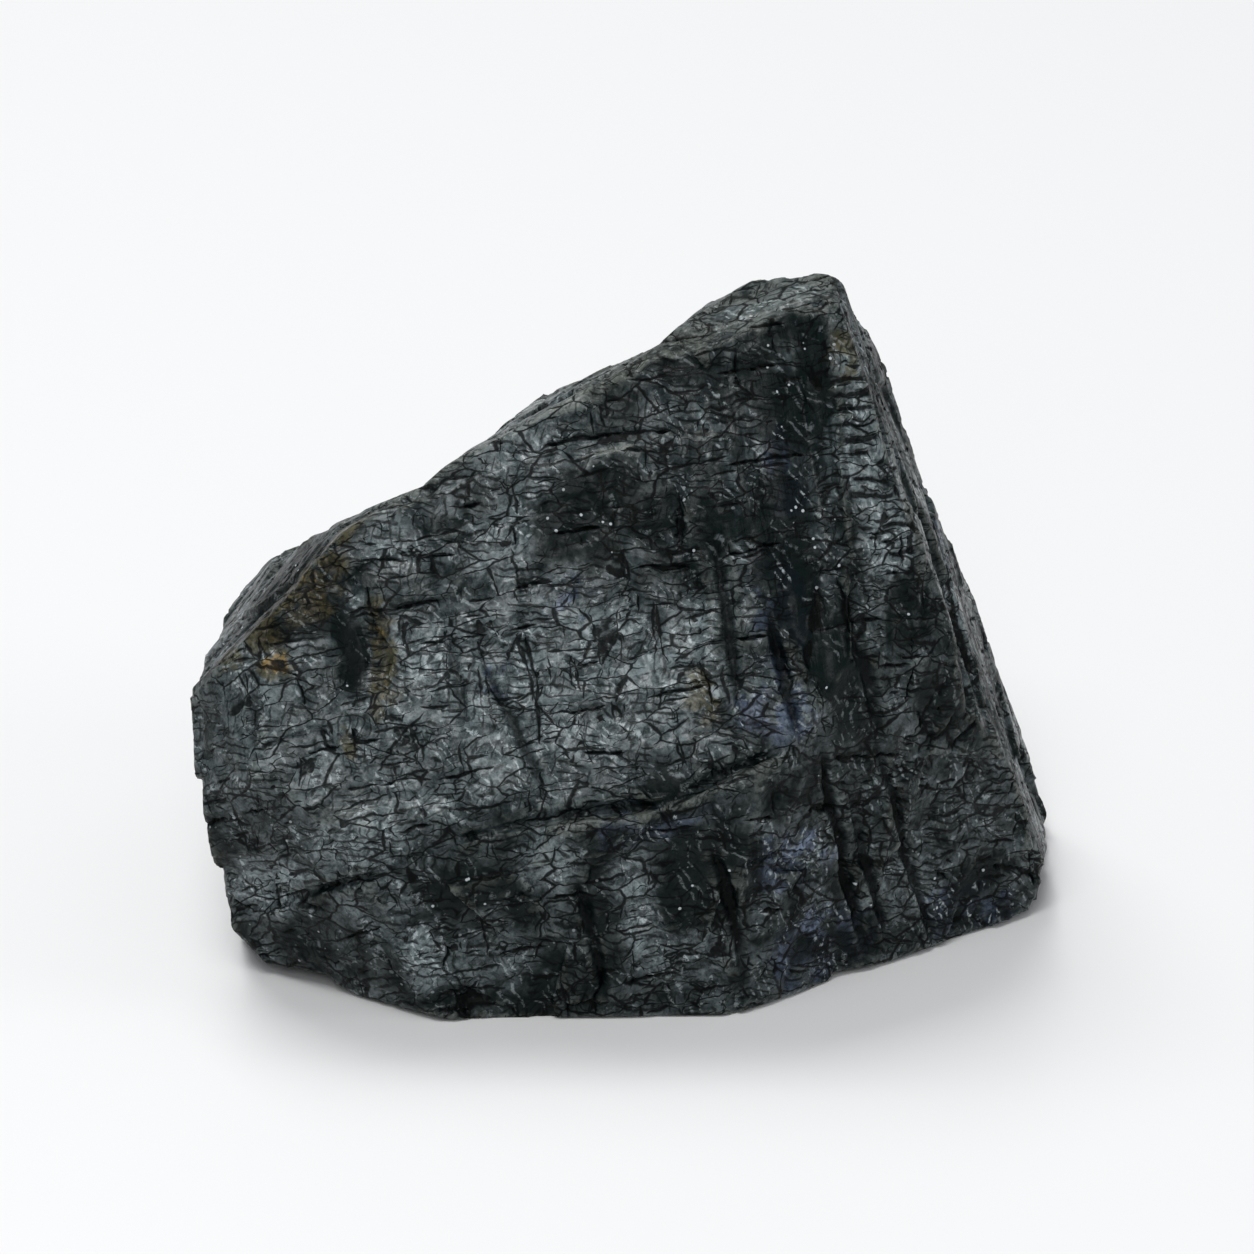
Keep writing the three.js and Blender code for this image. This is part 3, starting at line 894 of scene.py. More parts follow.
    shade_patches: tuple[Patch, ...] = (
        Patch(FRONT, (-23.8, 6.5), (5.6, 4.4), turn=20, share=0.9, depth=14.0),
        Patch(UPPER_LEFT, (-2.0, -6.0), (5.0, 7.0), share=0.6),
        Patch(FRONT, (18.1, -11.0), (2.0, 4.4)),
        Patch(FRONT, (6.1, 17.6), (3.6, 2.8), share=0.5),
        Patch(FRONT, (15.0, 14.6), (3.6, 6.0), share=0.62),
        Patch(FRONT, (1.3, 6.8), (4.8, 3.6), share=0.72),
        Patch(FRONT, (6.6, 4.4), (3.2, 4.0), share=0.4),
        Patch(FRONT, (12.6, 3.5), (2.8, 4.8), share=0.68),
        Patch(FRONT, (13.2, -3.0), (2.2, 4.0)),
        Patch(FRONT, (17.8, -10.2), (2.4, 4.4)),
        Patch(FRONT, (15.6, -6.2), (2.0, 3.6), share=0.8),
        Patch(FRONT, (-22.9, 4.7), (4.8, 3.6), turn=20, share=0.85),
        Patch(FRONT, (-18.8, 0.5), (1.3, 4.0), share=0.8),
        Patch(FRONT, (-22.9, -4.2), (2.4, 2.4), share=0.3),
        Patch(FRONT, (1.6, -13.5), (2.2, 1.7)),
        Patch(BELT, (-12.8, -4.8), (3.6, 2.1), share=0.8),
        Patch(BELT, (-7.2, -14.2), (4.4, 3.4), share=0.45),
        Patch(BELT, (4.5, -7.4), (3.9, 4.3), share=0.8),
        Patch(BELT, (1.6, -15.3), (4.8, 2.9), share=0.3),
        Patch(BELT_RIGHT, (8.0, -11.5), (6.5, 4.2), share=0.6),
        Patch(BELT_RIGHT, (17.5, -11.3), (5.5, 3.3), share=0.5),
        Patch(BELT_RIGHT, (0.7, -1.1), (4.3, 2.3), share=0.5),
        Patch(RIGHT_FRONT, (12.2, -5.5), (3.1, 5.6), share=0.5),
        Patch(RIGHT_FRONT, (8.6, -0.5), (2.5, 4.0), share=0.6),
        Patch(BELT, (-25.3, -5.5), (3.2, 2.4), share=0.4),
        Patch(RIGHT_FRONT, (5.7, -8.3), (3.0, 3.2), share=0.75),
        Patch(BELT, (-11.0, -8.5), (15.0, 8.0), share=0.22, depth=6.0),
        Patch(BELT_LEFT, (-12.0, 2.0), (9.0, 9.0), share=0.34, depth=6.0),
        Patch(BELT, (-19.4, -4.5), (2.5, 2.5), share=0.5),
        Patch(FRONT, (-22.1, -10.0), (4.0, 2.1), share=0.35),
        Patch(FRONT, (-21.4, -2.4), (2.8, 2.4), share=0.35),
        Patch(FRONT, (-24.4, 5.8), (2.8, 2.6), share=0.75),
        Patch(FRONT, (16.9, 2.9), (1.1, 4.8), share=0.45),
        Patch(FRONT, (3.7, 0.8), (2.0, 2.4), share=0.35),
        Patch(FRONT, (5.2, 16.9), (4.0, 2.4), turn=20, share=0.35),
    )
    groove_patches: tuple[Patch, ...] = (
        Patch(FRONT, (7.9, -1.5), (0.5, 5.9), share=0.85),
        Patch(FRONT, (11.3, -6.4), (0.5, 4.9), turn=5, share=0.9),
        Patch(FRONT, (17.1, -7.6), (0.45, 6.1), turn=3, share=0.7, depth=8.0),
        Patch(FRONT, (-11.4, -2.5), (0.4, 3.6), turn=3, share=0.7),
        Patch(FRONT, (-7.9, -6.4), (0.4, 5.9), turn=17, share=0.8),
        Patch(FRONT, (-18.3, 0.2), (0.9, 3.6), turn=3, share=0.5),
        Patch(FRONT, (-25.7, -2.8), (0.4, 2.7), turn=-10, share=0.7),
        Patch(BELT, (5.4, -10.6), (0.5, 5.4), turn=3, share=1.0),
        Patch(BELT, (-4.4, -10.4), (0.5, 4.6), turn=3, share=0.8),
        Patch(BELT_RIGHT, (5.4, -6.6), (0.46, 9.4), turn=27, share=1.0, depth=8.0),
        Patch(BELT_RIGHT, (11.3, -7.0), (0.44, 10.4), turn=31, share=0.9, depth=8.0),
        Patch(BELT_RIGHT, (8.6, -9.0), (0.42, 6.4), turn=29, share=0.8, depth=8.0),
    )
    trough_patches: tuple[Patch, ...] = (
        Patch(FRONT, (14.9, -4.9), (2.0, 7.8), turn=14, share=0.8, depth=8.0),
    )
    streak_patches: tuple[Patch, ...] = (
        Patch(FRONT, (13.1, 10.0), (7.5, 10.4)),
        Patch(FRONT, (16.0, -6.7), (2.4, 10.3), turn=2),
        Patch(BELT_RIGHT, (7.7, -6.9), (6.5, 11.8)),
        Patch(BELT, (2.0, -9.0), (6.0, 7.0), share=0.7),
    )

    def wire(self, graph: Graph, source: Socket) -> Socket:
        """Adds the nodes that shape a mesh and store its zones.

        Args:
            graph: A geometry tree.
            source: The mesh that comes in.

        Returns:
            The shaped mesh.
        """
        place = graph.put("GeometryNodeInputPosition", {}).outputs[0]
        normal = graph.put("GeometryNodeInputNormal", {}).outputs[0]
        facing = graph.blur(normal, self.facing_blur)
        millimetres = graph.vector("SCALE", place, scale=1 / MM)
        oval = Oval(TreeKind.GEOMETRY)
        wander = Wander(TreeKind.GEOMETRY)
        ragged = wander.place(graph, Point=millimetres, Long=2.6, Short=1.2)["Point"]
        nearly = wander.place(graph, Point=millimetres, Long=0.8, Short=0.4)["Point"]
        point = CrystalFrame(TreeKind.GEOMETRY).place(graph, Place=place)["Point"]
        bent = wander.place(graph, Point=point)["Point"]
        placed = {
            Layer.SMOOTH: self.smooth_patches,
            Layer.STAIN: self.stain_patches,
            Layer.NAVY: self.navy_patches,
            Layer.TOP_LIGHT: self.top_light_patches,
            Layer.BRICK: self.brick_patches,
            Layer.SHINE: self.shine_patches,
            Layer.SHADE: self.shade_patches,
            Layer.STREAK: self.streak_patches,
        }
        zones = {
            layer: self.zone(graph, oval, patches, ragged) for layer, patches in placed.items()
        }
        zones[Layer.GROOVE] = self.zone(graph, oval, self.groove_patches, nearly)
        for layer, spread in self.hidden_sides(graph, millimetres, facing).items():
            zones[layer] = graph.largest(zones[layer], spread)
        trough = self.zone(graph, oval, self.trough_patches, nearly)
        height = self.height(graph, point, bent, zones, trough)
        elevation = graph.split(millimetres)[2]
        height = graph.times(height, graph.smooth(elevation, self.floor_gap, self.foot))
        offset = graph.vector("SCALE", facing, scale=graph.times(height, MM))
        mesh = self.store(graph, source, Layer.RAW, place)
        for layer, value in zones.items():
            mesh = self.store(graph, mesh, layer, value)
        moved = {"Geometry": mesh, "Offset": offset}
        return self.hollows(graph, graph.put("GeometryNodeSetPosition", moved).outputs[0])

    def zone(self, graph: Graph, oval: Oval, patches: tuple[Patch, ...], point: Socket) -> Socket:
        """The strength of a zone that is made of some patches."""
        return Zone(TreeKind.GEOMETRY, oval, patches).place(graph, Point=point)["Mask"]

    def hidden_sides(
        self, graph: Graph, millimetres: Socket, facing: Socket
    ) -> dict[Layer, Socket]:
        """Spreads some zones by the way the surface faces, so that the other sides match the front.

        Args:
            graph: A geometry tree.
            millimetres: The place of each point, in millimetres.
            facing: The way that the surface faces there, smoothed.

        Returns:
            The strength of each zone that is spread.
        """
        seen = graph.vector("DOT_PRODUCT", facing, tuple(FRONT.out))
        away = graph.smooth(seen, 0.45, 0.1)
        clouds = graph.noise(millimetres, 0.12, 2.0)
        tilted = graph.vector("DOT_PRODUCT", facing, tuple(crystal_axis()))
        prism = graph.smooth(graph.sum("ABSOLUTE", tilted), 0.3, 0.55, 1.0, 0.0)
        depth = graph.vector("DOT_PRODUCT", millimetres, (0.5, 1.0, 0.0))
        return {
            # faces turned up get painted top light
            Layer.TOP_LIGHT: graph.smooth(graph.split(facing)[2], 0.62, 0.86, 0.0, 0.6),
            Layer.SHINE: graph.times(away, graph.smooth(clouds, 0.46, 0.62, 0.1, 0.9)),
            Layer.SHADE: graph.times(away, graph.smooth(clouds, 0.46, 0.34, 0.0, 0.8)),
            Layer.STREAK: graph.times(prism, graph.smooth(depth, -2.0, 6.0)),
        }

    def height(
        self,
        graph: Graph,
        point: Socket,
        bent: Socket,
        zones: dict[Layer, Socket],
        trough: Socket,
    ) -> Socket:
        """Adds up how far each point is raised.

        Args:
            graph: A geometry tree.
            point: The point in millimetres, in the crystal's frame.
            bent: The same point, moved a little so that straight patterns bend.
            zones: The strength of each zone.
            trough: The strength of the trough.

        Returns:
            The height in millimetres.
        """
        breaks = CrossBreaks(TreeKind.GEOMETRY)
        long_breaks = breaks.place(graph, Point=bent, Spacing=3.1, Run=4.6, Width=0.24, Open=0.43)
        short_breaks = breaks.place(graph, Point=bent, Spacing=1.2, Run=2.0, Width=0.2, Open=0.42)
        bricks = breaks.place(graph, Point=bent, Spacing=1.05, Run=9.0, Width=0.34, Open=0.66)
        seams = ColumnSeams(TreeKind.GEOMETRY)
        long_seams = seams.place(graph, Point=bent, Cell=4.2, Run=5.0, Width=0.26, Open=0.44)
        short_seams = seams.place(graph, Point=bent, Cell=1.6, Run=2.6, Width=0.2, Open=0.44)
        joints = graph.largest(long_breaks["Mask"], long_seams["Mask"])
        plates = graph.largest(short_breaks["Mask"], short_seams["Mask"])
        across, out, axis = graph.split(point)
        drawn = graph.merge(across, out, graph.times(axis, self.drawn_out))
        broken = graph.minus(1.0, zones[Layer.SMOOTH], clamp=True)
        streak = zones[Layer.STREAK]
        pits = graph.smooth(graph.noise(bent, 0.55, 2.0), 0.36, 0.46, 1.0, 0.0)
        return graph.plus(
            graph.times(graph.ripple(point, 0.14, 2.0), self.undulation),
            graph.times(graph.ripple(drawn, 0.75, 2.0, 0.6), streak, self.ridge),
            graph.times(graph.ripple(drawn, 0.3), streak, self.bulge),
            graph.times(joints, graph.mix(broken, -self.worn_joint_depth, -self.joint_depth)),
            graph.times(plates, broken, -self.plate_depth),
            graph.times(graph.minus(long_seams["Tone"], 0.5), broken, self.joint_offset),
            graph.times(pits, broken, -self.pit_depth),
            graph.times(bricks["Mask"], zones[Layer.BRICK], -self.brick_depth),
            graph.times(zones[Layer.GROOVE], -self.groove_depth),
            graph.times(trough, -self.trough_depth),
        )

    def store(self, graph: Graph, mesh: Socket, layer: Layer, value: Socket) -> Socket:
        """Stores a value on each point of the mesh.

        Args:
            graph: A geometry tree.
            mesh: The mesh that comes in.
            layer: The name that the finish reads.
            value: A number, or a vector for the raw place.

        Returns:
            The mesh with the value on it.
        """
        return graph.put(
            "GeometryNodeStoreNamedAttribute",
            {"Geometry": mesh, "Name": layer.value, "Value": value},
            data_type="FLOAT_VECTOR" if layer is Layer.RAW else "FLOAT",
            domain="POINT",
        ).outputs[0]

    def hollows(self, graph: Graph, mesh: Socket) -> Socket:
        """Stores how far each point lies below the points near it and further off, in millimetres.

        Args:
            graph: A geometry tree.
            mesh: The shaped mesh.

        Returns:
            The mesh with both values on it.
        """
        place = graph.put("GeometryNodeInputPosition", {}).outputs[0]
        normal = graph.put("GeometryNodeInputNormal", {}).outputs[0]
        for layer, steps in ((Layer.HOLLOW, self.hollow_blur), (Layer.GAP, self.gap_blur)):
            lifted = graph.vector("SUBTRACT", graph.blur(place, steps), place)
            below = graph.vector("DOT_PRODUCT", lifted, normal)
            mesh = self.store(graph, mesh, layer, graph.times(below, 1 / MM))
        return mesh


class Patterns:
    """The patterns and stored zones that the finish is mixed from, as sockets of its tree.

    Attributes:
        graph: The material's tree.
        point: The point in millimetres, in the crystal's frame.
        bent: The same point, moved a little so that straight patterns bend.
        fine: A fine cloudy noise.
        plates: The cracks between plates, with each plate's tone and tilt.
        chips: The same for the smaller chips.
        broken: How broken the surface is, and not smooth.
        lines: Fine lines drawn out along the crystal axis.
        streak: The strength of the zone of columns.
        shade: The strength of the dark areas.
        tone: How pale the surface is in broad areas, from the shine and shade zones.
        mottle: The fine light and dark of the grey plates.
        scores: The group that draws curved scores.
    """

    smooth_share = 0.8  # how much of the crackle a smooth zone takes away
    tone_level = 0.24  # how pale the surface is where no shine or shade area makes it lighter or darker
    shine_share = 0.52
    shade_share = 0.5
    drift = 1.35  # how far a slow noise moves the tone
    raggedness = 1.5  # how far small spots move the rim of a zone

    def __init__(self, graph: Graph) -> None:
        """Adds the nodes that all parts of the finish share.

        Args:
            graph: The material's tree.
        """
        self.graph = graph
        raw = self.layer(Layer.RAW, "Vector")
        self.point = CrystalFrame(TreeKind.SHADER).place(graph, Place=raw)["Point"]
        self.bent = Wander(TreeKind.SHADER).place(graph, Point=self.point, Tiny=0.16)["Point"]
        cracks = Cracks(TreeKind.SHADER)
        self.plates = cracks.place(
            graph, Point=self.bent, Cell=(3.2, 3.2, 1.4), Width=0.19, Open=0.52, Reach=3.0
        )
        self.chips = cracks.place(
            graph, Point=self.bent, Cell=(1.5, 1.5, 0.6), Width=0.11, Open=0.4, Reach=1.6
        )
        self.scores = Strokes(TreeKind.SHADER)
        self.fine = graph.noise(self.point, 2.2, 4.0, 0.75)
        self.streak = self.layer(Layer.STREAK)
        self.shade = self.layer(Layer.SHADE)
        smooth_zone = self.ragged(Layer.SMOOTH)
        self.broken = graph.minus(1.0, graph.times(smooth_zone, self.smooth_share), clamp=True)
        drawn = graph.vector("MULTIPLY", self.point, (2.6, 2.6, 0.12))
        self.lines = graph.noise(drawn, 1.0, 2.0, 0.6)
        self.tone = self.broad_tone()
        speckle = graph.plus(
            graph.times(self.fine, 0.8),
            graph.times(self.chips["Tone"], 0.12),
            graph.times(self.plates["Tone"], 0.08),
        )
        self.mottle = graph.smooth(speckle, 0.32, 0.74, 0.14, 1.0)

    def layer(self, layer: Layer, output: str = "Fac") -> Socket:
        """Reads a value that the relief stored on the stone's points."""
        node = self.graph.put("ShaderNodeAttribute", {}, attribute_name=layer.value)
        return node.outputs[output]

    def ragged(self, layer: Layer) -> Socket:
        """Breaks up the rim of a stored zone into small spots.

        Args:
            layer: The stored zone.

        Returns:
            The zone's strength.
        """
        graph = self.graph
        spots = graph.times(graph.ripple(self.point, 0.42, 4.0, 0.6), self.raggedness)
        return graph.smooth(graph.plus(self.layer(layer), spots), 0.35, 0.65)

    def strokes(
        self, heading: tuple[float, ...], spacing: float, curl: float, width: float, share: float
    ) -> Socket:
        """Scores the surface with curved strokes.

        Args:
            heading: The direction that they run square to.
            spacing: Millimetres between them.
            curl: How far they bend, in spacings.
            width: Their width in millimetres.
            share: The share of the surface that has them.

        Returns:
            The strength of the strokes.
        """
        sizes = {"Spacing": spacing, "Curl": curl, "Width": width, "Share": share}
        return self.scores.place(self.graph, Point=self.bent, Heading=heading, **sizes)["Mask"]

    def broad_tone(self) -> Socket:
        """Mixes the light and dark areas with a slow noise.

        Returns:
            How pale the surface is, from 0 to 1.
        """
        graph = self.graph
        shine = graph.times(self.layer(Layer.SHINE), self.shine_share)
        lit = graph.plus(shine, self.tone_level)
        dimmed = graph.minus(lit, graph.times(self.shade, self.shade_share))
        slow = graph.times(graph.ripple(self.point, 0.33, 3.0, 0.6), self.drift)
        return graph.sum("ADD", dimmed, slow, clamp=True)

    def columns(self) -> Socket:
        """Draws the light and dark stripes of the columns.

        Returns:
            How pale each stripe is.
        """
        graph = self.graph
        drawn = graph.vector("MULTIPLY", self.bent, (0.95, 0.95, 0.05))
        broad = graph.smooth(graph.noise(drawn, 1.0, 2.0), 0.36, 0.6, 0.25, 1.25)
        return graph.times(broad, graph.smooth(self.lines, 0.35, 0.6, 0.6, 1.1))

    def etched(self) -> Socket:
        """Draws all the dark lines of the crackle.

        Returns:
            The strength of the lines.
        """
        graph, bent = self.graph, self.bent
        breaks = CrossBreaks(TreeKind.SHADER)
        long_breaks = breaks.place(graph, Point=bent, Spacing=3.1, Run=4.6, Width=0.23, Open=0.46)
        short_breaks = breaks.place(graph, Point=bent, Spacing=1.2, Run=2.0, Width=0.17, Open=0.46)
        bricks = breaks.place(graph, Point=bent, Spacing=1.05, Run=9.0, Width=0.27, Open=0.66)
        seams = ColumnSeams(TreeKind.SHADER)
        long_seams = seams.place(graph, Point=bent, Cell=4.2, Run=5.0, Width=0.19, Open=0.44)
        short_seams = seams.place(graph, Point=bent, Cell=1.6, Run=2.6, Width=0.14, Open=0.45)
        small = graph.largest(
            short_breaks["Mask"],
            short_seams["Mask"],
            self.plates["Mask"],
            self.chips["Mask"],
            graph.times(self.strokes((0.25, 0.1, 1.0), 0.6, 2.8, 0.13, 0.52), 0.85),
            graph.times(self.strokes((1.0, 0.4, -0.3), 0.65, 3.0, 0.12, 0.46), 0.75),
            graph.times(self.strokes((-0.5, 0.2, 0.8), 0.55, 5.0, 0.11, 0.46), 0.65),
        )
        return graph.largest(
            long_breaks["Mask"],
            long_seams["Mask"],
            graph.times(small, self.broken),
            graph.times(bricks["Mask"], self.ragged(Layer.BRICK)),
        )


@dataclass(frozen=True)
class SchorlFinish:
    """Black tourmaline: a nearly black glassy mineral, greyed by wear where it stands proud and by
    painted sheen on its plates, with painted shade in its hollows.
    """

    black: Colour = (0.0010, 0.0014, 0.0015, 1.0)
    # the grey of the plates: partly wear, partly painted sheen
    grey: Colour = (0.262, 0.322, 0.338, 1.0)
    green: Colour = (0.0030, 0.0068, 0.0068, 1.0)
    navy: Colour = (0.79, 0.87, 1.27, 1.0)
    umber: Colour = (0.80, 0.68, 0.40, 1.0)
    ochre: Colour = (0.066, 0.055, 0.026, 1.0)
    rust: Colour = (0.20, 0.135, 0.048, 1.0)
    # olive: the worn rims and raised points, and the painted top light
    olive: Colour = (0.150, 0.166, 0.150, 1.0)
    # the colour of the painted glints
    glint: Colour = (0.42, 0.46, 0.48, 1.0)
    # the colour of the painted sheen threads
    edge: Colour = (0.48, 0.54, 0.56, 1.0)
    index: float = 1.63
    specular: float = 0.035
    coat_index: float = 1.6
    coat_roughness: float = 0.22
    least_roughness: float = 0.2
    crack_dark: float = 0.92  # how dark a crack makes the surface
    # painted shade: how dark a small hollow is made
    hollow_painted_shade: float = 0.5
    groove_dark: float = 0.95
    navy_share: float = 0.9  # how strongly the navy sheen is laid on
    navy_threads: float = 0.8  # how bright the painted sheen threads in it are
    # how strong the painted top light is
    top_light_share: float = 0.9
    proud_share: float = 0.3
    rim_share: float = 0.45
    stain_share: float = 0.8
    fine_height: float = 0.06  # millimetres, like the next two
    grain_height: float = 0.02
    line_height: float = 0.12
    plate_tilt: float = 0.2  # how far the plates' own tilts turn the surface
    chip_tilt: float = 0.14
    glints: float = 1.25  # cells in a millimetre, of which few hold a painted glint
    lucky: float = 0.86  # the share of cells without a glint

    def material(self) -> bpy.types.Material:
        """Builds the material.

        Returns:
            The finished material, whose patterns all lie in the stone's own frame.
        """
        material = bpy.data.materials.new("schorl")
        material.use_nodes = True
        material.node_tree.nodes.clear()
        graph = Graph(material.node_tree)
        patterns = Patterns(graph)
        hollow, gap = patterns.layer(Layer.HOLLOW), patterns.layer(Layer.GAP)
        # The dark cracks and grooves, with painted shade in small hollows and in wide gaps.
        dark = graph.largest(
            graph.times(patterns.etched(), self.crack_dark),
            graph.times(graph.smooth(hollow, 0.07, 0.28), self.hollow_painted_shade),
            graph.smooth(gap, 0.25, 0.7),
            graph.times(patterns.layer(Layer.GROOVE), self.groove_dark),
        )
        rough = graph.plus(
            graph.times(patterns.fine, 0.3), graph.times(patterns.plates["Tone"], 0.14)
        )
        gloss = graph.times(graph.mix(patterns.tone, 0.15, 1.0), patterns.mottle)
        shader = graph.put(
            "ShaderNodeBsdfPrincipled",
            {
                "Base Color": self.colour(graph, patterns, hollow, gap, dark),
                "Roughness": graph.plus(rough, self.least_roughness),
                "IOR": self.index,
                "Specular IOR Level": self.specular,
                "Coat Weight": graph.times(graph.minus(1.0, dark), gloss),
                "Coat Roughness": self.coat_roughness,
                "Coat IOR": self.coat_index,
                "Normal": self.normal(graph, patterns),
            },
        )
        graph.put("ShaderNodeOutputMaterial", {"Surface": shader.outputs[0]})
        return material

    def colour(
        self, graph: Graph, patterns: Patterns, hollow: Socket, gap: Socket, dark: Socket
    ) -> Socket:
        """Lays the colours over each other, from the mineral to the painted glints.

        Args:
            graph: The material's tree.
            patterns: The patterns to mix them by.
            hollow: Millimetres that each point lies below the points near it.
            gap: Millimetres that it lies below its wider surroundings.
            dark: The strength of the dark lines, and of the painted shade in hollows and gaps.

        Returns:
            The base colour.
        """
        tone, mottle, fine = patterns.tone, patterns.mottle, patterns.fine
        blotch = graph.smooth(graph.noise(patterns.point, 0.7, 3.0, 0.6), 0.36, 0.62, 0.1, 1.3)
        stained = patterns.layer(Layer.STAIN)
        stain = graph.smooth(graph.times(stained, blotch), 0.1, 0.7)
        navy = graph.smooth(graph.times(patterns.layer(Layer.NAVY), blotch), 0.15, 0.75)
        # Painted top light: paler olive on the top strip, the right rim and faces turned up.
        top_light = graph.times(patterns.ragged(Layer.TOP_LIGHT), graph.times(mottle, self.top_light_share))
        proud = graph.smooth(hollow, -0.03, -0.14)
        rim = graph.times(graph.smooth(gap, -0.2, -0.55), graph.smooth(fine, 0.35, 0.6))
        columns = graph.mix(patterns.streak, 1.0, patterns.columns())
        # How grey the plates are: partly wear, partly painted sheen.
        wear_and_sheen = graph.times(tone, mottle, patterns.broken, columns)
        speckled = graph.times(stain, graph.smooth(fine, 0.38, 0.62, 0.1, 0.55))
        spot = graph.smooth(graph.times(stained, fine), 0.56, 0.74)
        # Painted sheen: thin bright curved threads, as if plate edges caught the light, brightest
        # where the tone is pale and in the navy zones.
        sheen_threads = patterns.strokes((0.7, -0.4, 0.55), 0.62, 3.4, 0.13, 0.5)
        sheen_threads = graph.times(sheen_threads, graph.smooth(fine, 0.45, 0.58))
        sheen_threads = graph.times(sheen_threads, graph.smooth(gap, -0.5, -0.1, 0.25, 0.8))
        lit = graph.largest(graph.mix(tone, 0.22, 1.0), graph.times(navy, self.navy_threads))
        # Painted glints: a few small pale cells, as if tiny facets caught the light, strongest in
        # the shade zones.
        cells = graph.cells(graph.vector("SCALE", patterns.point, scale=self.glints))
        chosen = graph.sum("GREATER_THAN", graph.split(cells["Color"])[1], self.lucky)
        glint = graph.times(graph.smooth(cells["Distance"], 0.1, 0.17, 1.0, 0.0), chosen)
        glint = graph.times(glint, graph.smooth(patterns.shade, 0.1, 0.5, 0.2, 1.0))
        base = graph.blend(wear_and_sheen, self.green, self.grey)
        for share, colour, way in (
            (graph.times(navy, self.navy_share), self.navy, "MULTIPLY"),
            (top_light, self.olive, "MIX"),
            (graph.times(proud, mottle, self.proud_share), self.olive, "MIX"),
            (graph.times(rim, self.rim_share), self.olive, "MIX"),
            (graph.times(stain, self.stain_share), self.umber, "MULTIPLY"),
            (speckled, self.ochre, "MIX"),
            (spot, self.rust, "MIX"),
            (graph.times(sheen_threads, lit), self.edge, "MIX"),
            (dark, self.black, "MIX"),
            (glint, self.glint, "MIX"),
        ):
            base = graph.blend(share, base, colour, way)
        return base

    def normal(self, graph: Graph, patterns: Patterns) -> Socket:
        """Tilts the plates and chips a little, and adds the finest grain.

        Args:
            graph: The material's tree.
            patterns: The patterns that it follows.

        Returns:
            The shading normal.
        """
        tilts = (
            graph.vector("SCALE", pattern["Tilt"], scale=graph.times(patterns.broken, amount))
            for pattern, amount in (
                (patterns.plates, self.plate_tilt),
                (patterns.chips, self.chip_tilt),
            )
        )
        own = graph.put("ShaderNodeNewGeometry", {}).outputs["Normal"]
        turned = graph.vector("ADD", own, graph.vector("ADD", *tilts))
        height = graph.plus(
            graph.times(patterns.fine, self.fine_height),
            graph.times(graph.noise(patterns.point, 9.0, 2.0, 0.6), self.grain_height),
            graph.times(patterns.lines, patterns.streak, self.line_height),
        )
        feeds = {
            "Strength": 1.0,
            "Distance": MM,
            "Height": height,
            "Normal": graph.vector("NORMALIZE", turned),
        }
        return graph.put("ShaderNodeBump", feeds).outputs[0]


@dataclass
class Stone:
    """The chunk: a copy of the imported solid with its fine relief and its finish."""

    voxel: float = 0.24  # millimetres
    most_triangles: int = 194000
    crease: float = 42.0  # degrees above which an edge stays sharp
    weld: float = 1e-6  # metres within which loose corners are joined
    relief: Relief = field(default_factory=Relief)
    finish: SchorlFinish = field(default_factory=SchorlFinish)

    def build(self) -> bpy.types.Object:
        """Makes the detailed stone.

        Returns:
            The finished mesh object, at the origin.
        """
        stone = self.copy_of(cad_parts[NODE])
        self.remesh(stone)
        self.carve(stone)
        self.thin(stone)
        bpy.ops.object.shade_smooth_by_angle(angle=math.radians(self.crease))
        stone.data.materials.clear()
        stone.data.materials.append(self.finish.material())
        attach(stone, BODY)
        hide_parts(NODE)
        LOG.info("stone: %d points, %d faces", len(stone.data.vertices), len(stone.data.polygons))
        return stone

    def copy_of(self, node: bpy.types.Object) -> bpy.types.Object:
        """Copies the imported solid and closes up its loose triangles.

        Args:
            node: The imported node, which stays as it is.

        Returns:
            The copy, selected and active.
        """
        stone = bpy.data.objects.new("chunk_of_schorl", node.data.copy())
        bpy.context.scene.collection.objects.link(stone)
        bpy.ops.object.select_all(action="DESELECT")
        stone.select_set(True)
        bpy.context.view_layer.objects.active = stone
        bpy.ops.object.mode_set(mode="EDIT")
        bpy.ops.mesh.select_all(action="SELECT")
        bpy.ops.mesh.remove_doubles(threshold=self.weld)
        bpy.ops.object.mode_set(mode="OBJECT")
        return stone

    def remesh(self, stone: bpy.types.Object) -> None:
        """Gives the stone an even mesh that is fine enough to carve.

        Args:
            stone: The stone, selected and active.
        """
        modifier = stone.modifiers.new("even mesh", "REMESH")
        modifier.mode = "VOXEL"
        modifier.voxel_size = self.voxel * MM
        bpy.ops.object.modifier_apply(modifier=modifier.name)

    def carve(self, stone: bpy.types.Object) -> None:
        """Carves the fine relief into the mesh and stores the zones of the finish on it.

        Args:
            stone: The stone, selected and active.
        """
        tree = bpy.data.node_groups.new("relief", TreeKind.GEOMETRY.value)
        for way in ("INPUT", "OUTPUT"):
            tree.interface.new_socket(name="Mesh", in_out=way, socket_type="NodeSocketGeometry")
        graph = Graph(tree)
        source = tree.nodes.new("NodeGroupInput").outputs[0]
        shaped = self.relief.wire(graph, source)
        graph.join(shaped, tree.nodes.new("NodeGroupOutput").inputs[0])
        modifier = stone.modifiers.new("relief", "NODES")
        modifier.node_group = tree
        bpy.ops.object.modifier_apply(modifier=modifier.name)

    def thin(self, stone: bpy.types.Object) -> None:
        """Thins the mesh where it is flat, to keep it under its number of triangles.

        Args:
            stone: The stone, selected and active.
        """
        triangles = sum(len(face.vertices) - 2 for face in stone.data.polygons)
        modifier = stone.modifiers.new("thinning", "DECIMATE")
        modifier.ratio = min(1.0, self.most_triangles / triangles)
        bpy.ops.object.modifier_apply(modifier=modifier.name)
        for polygon in stone.data.polygons:
            polygon.material_index = 0


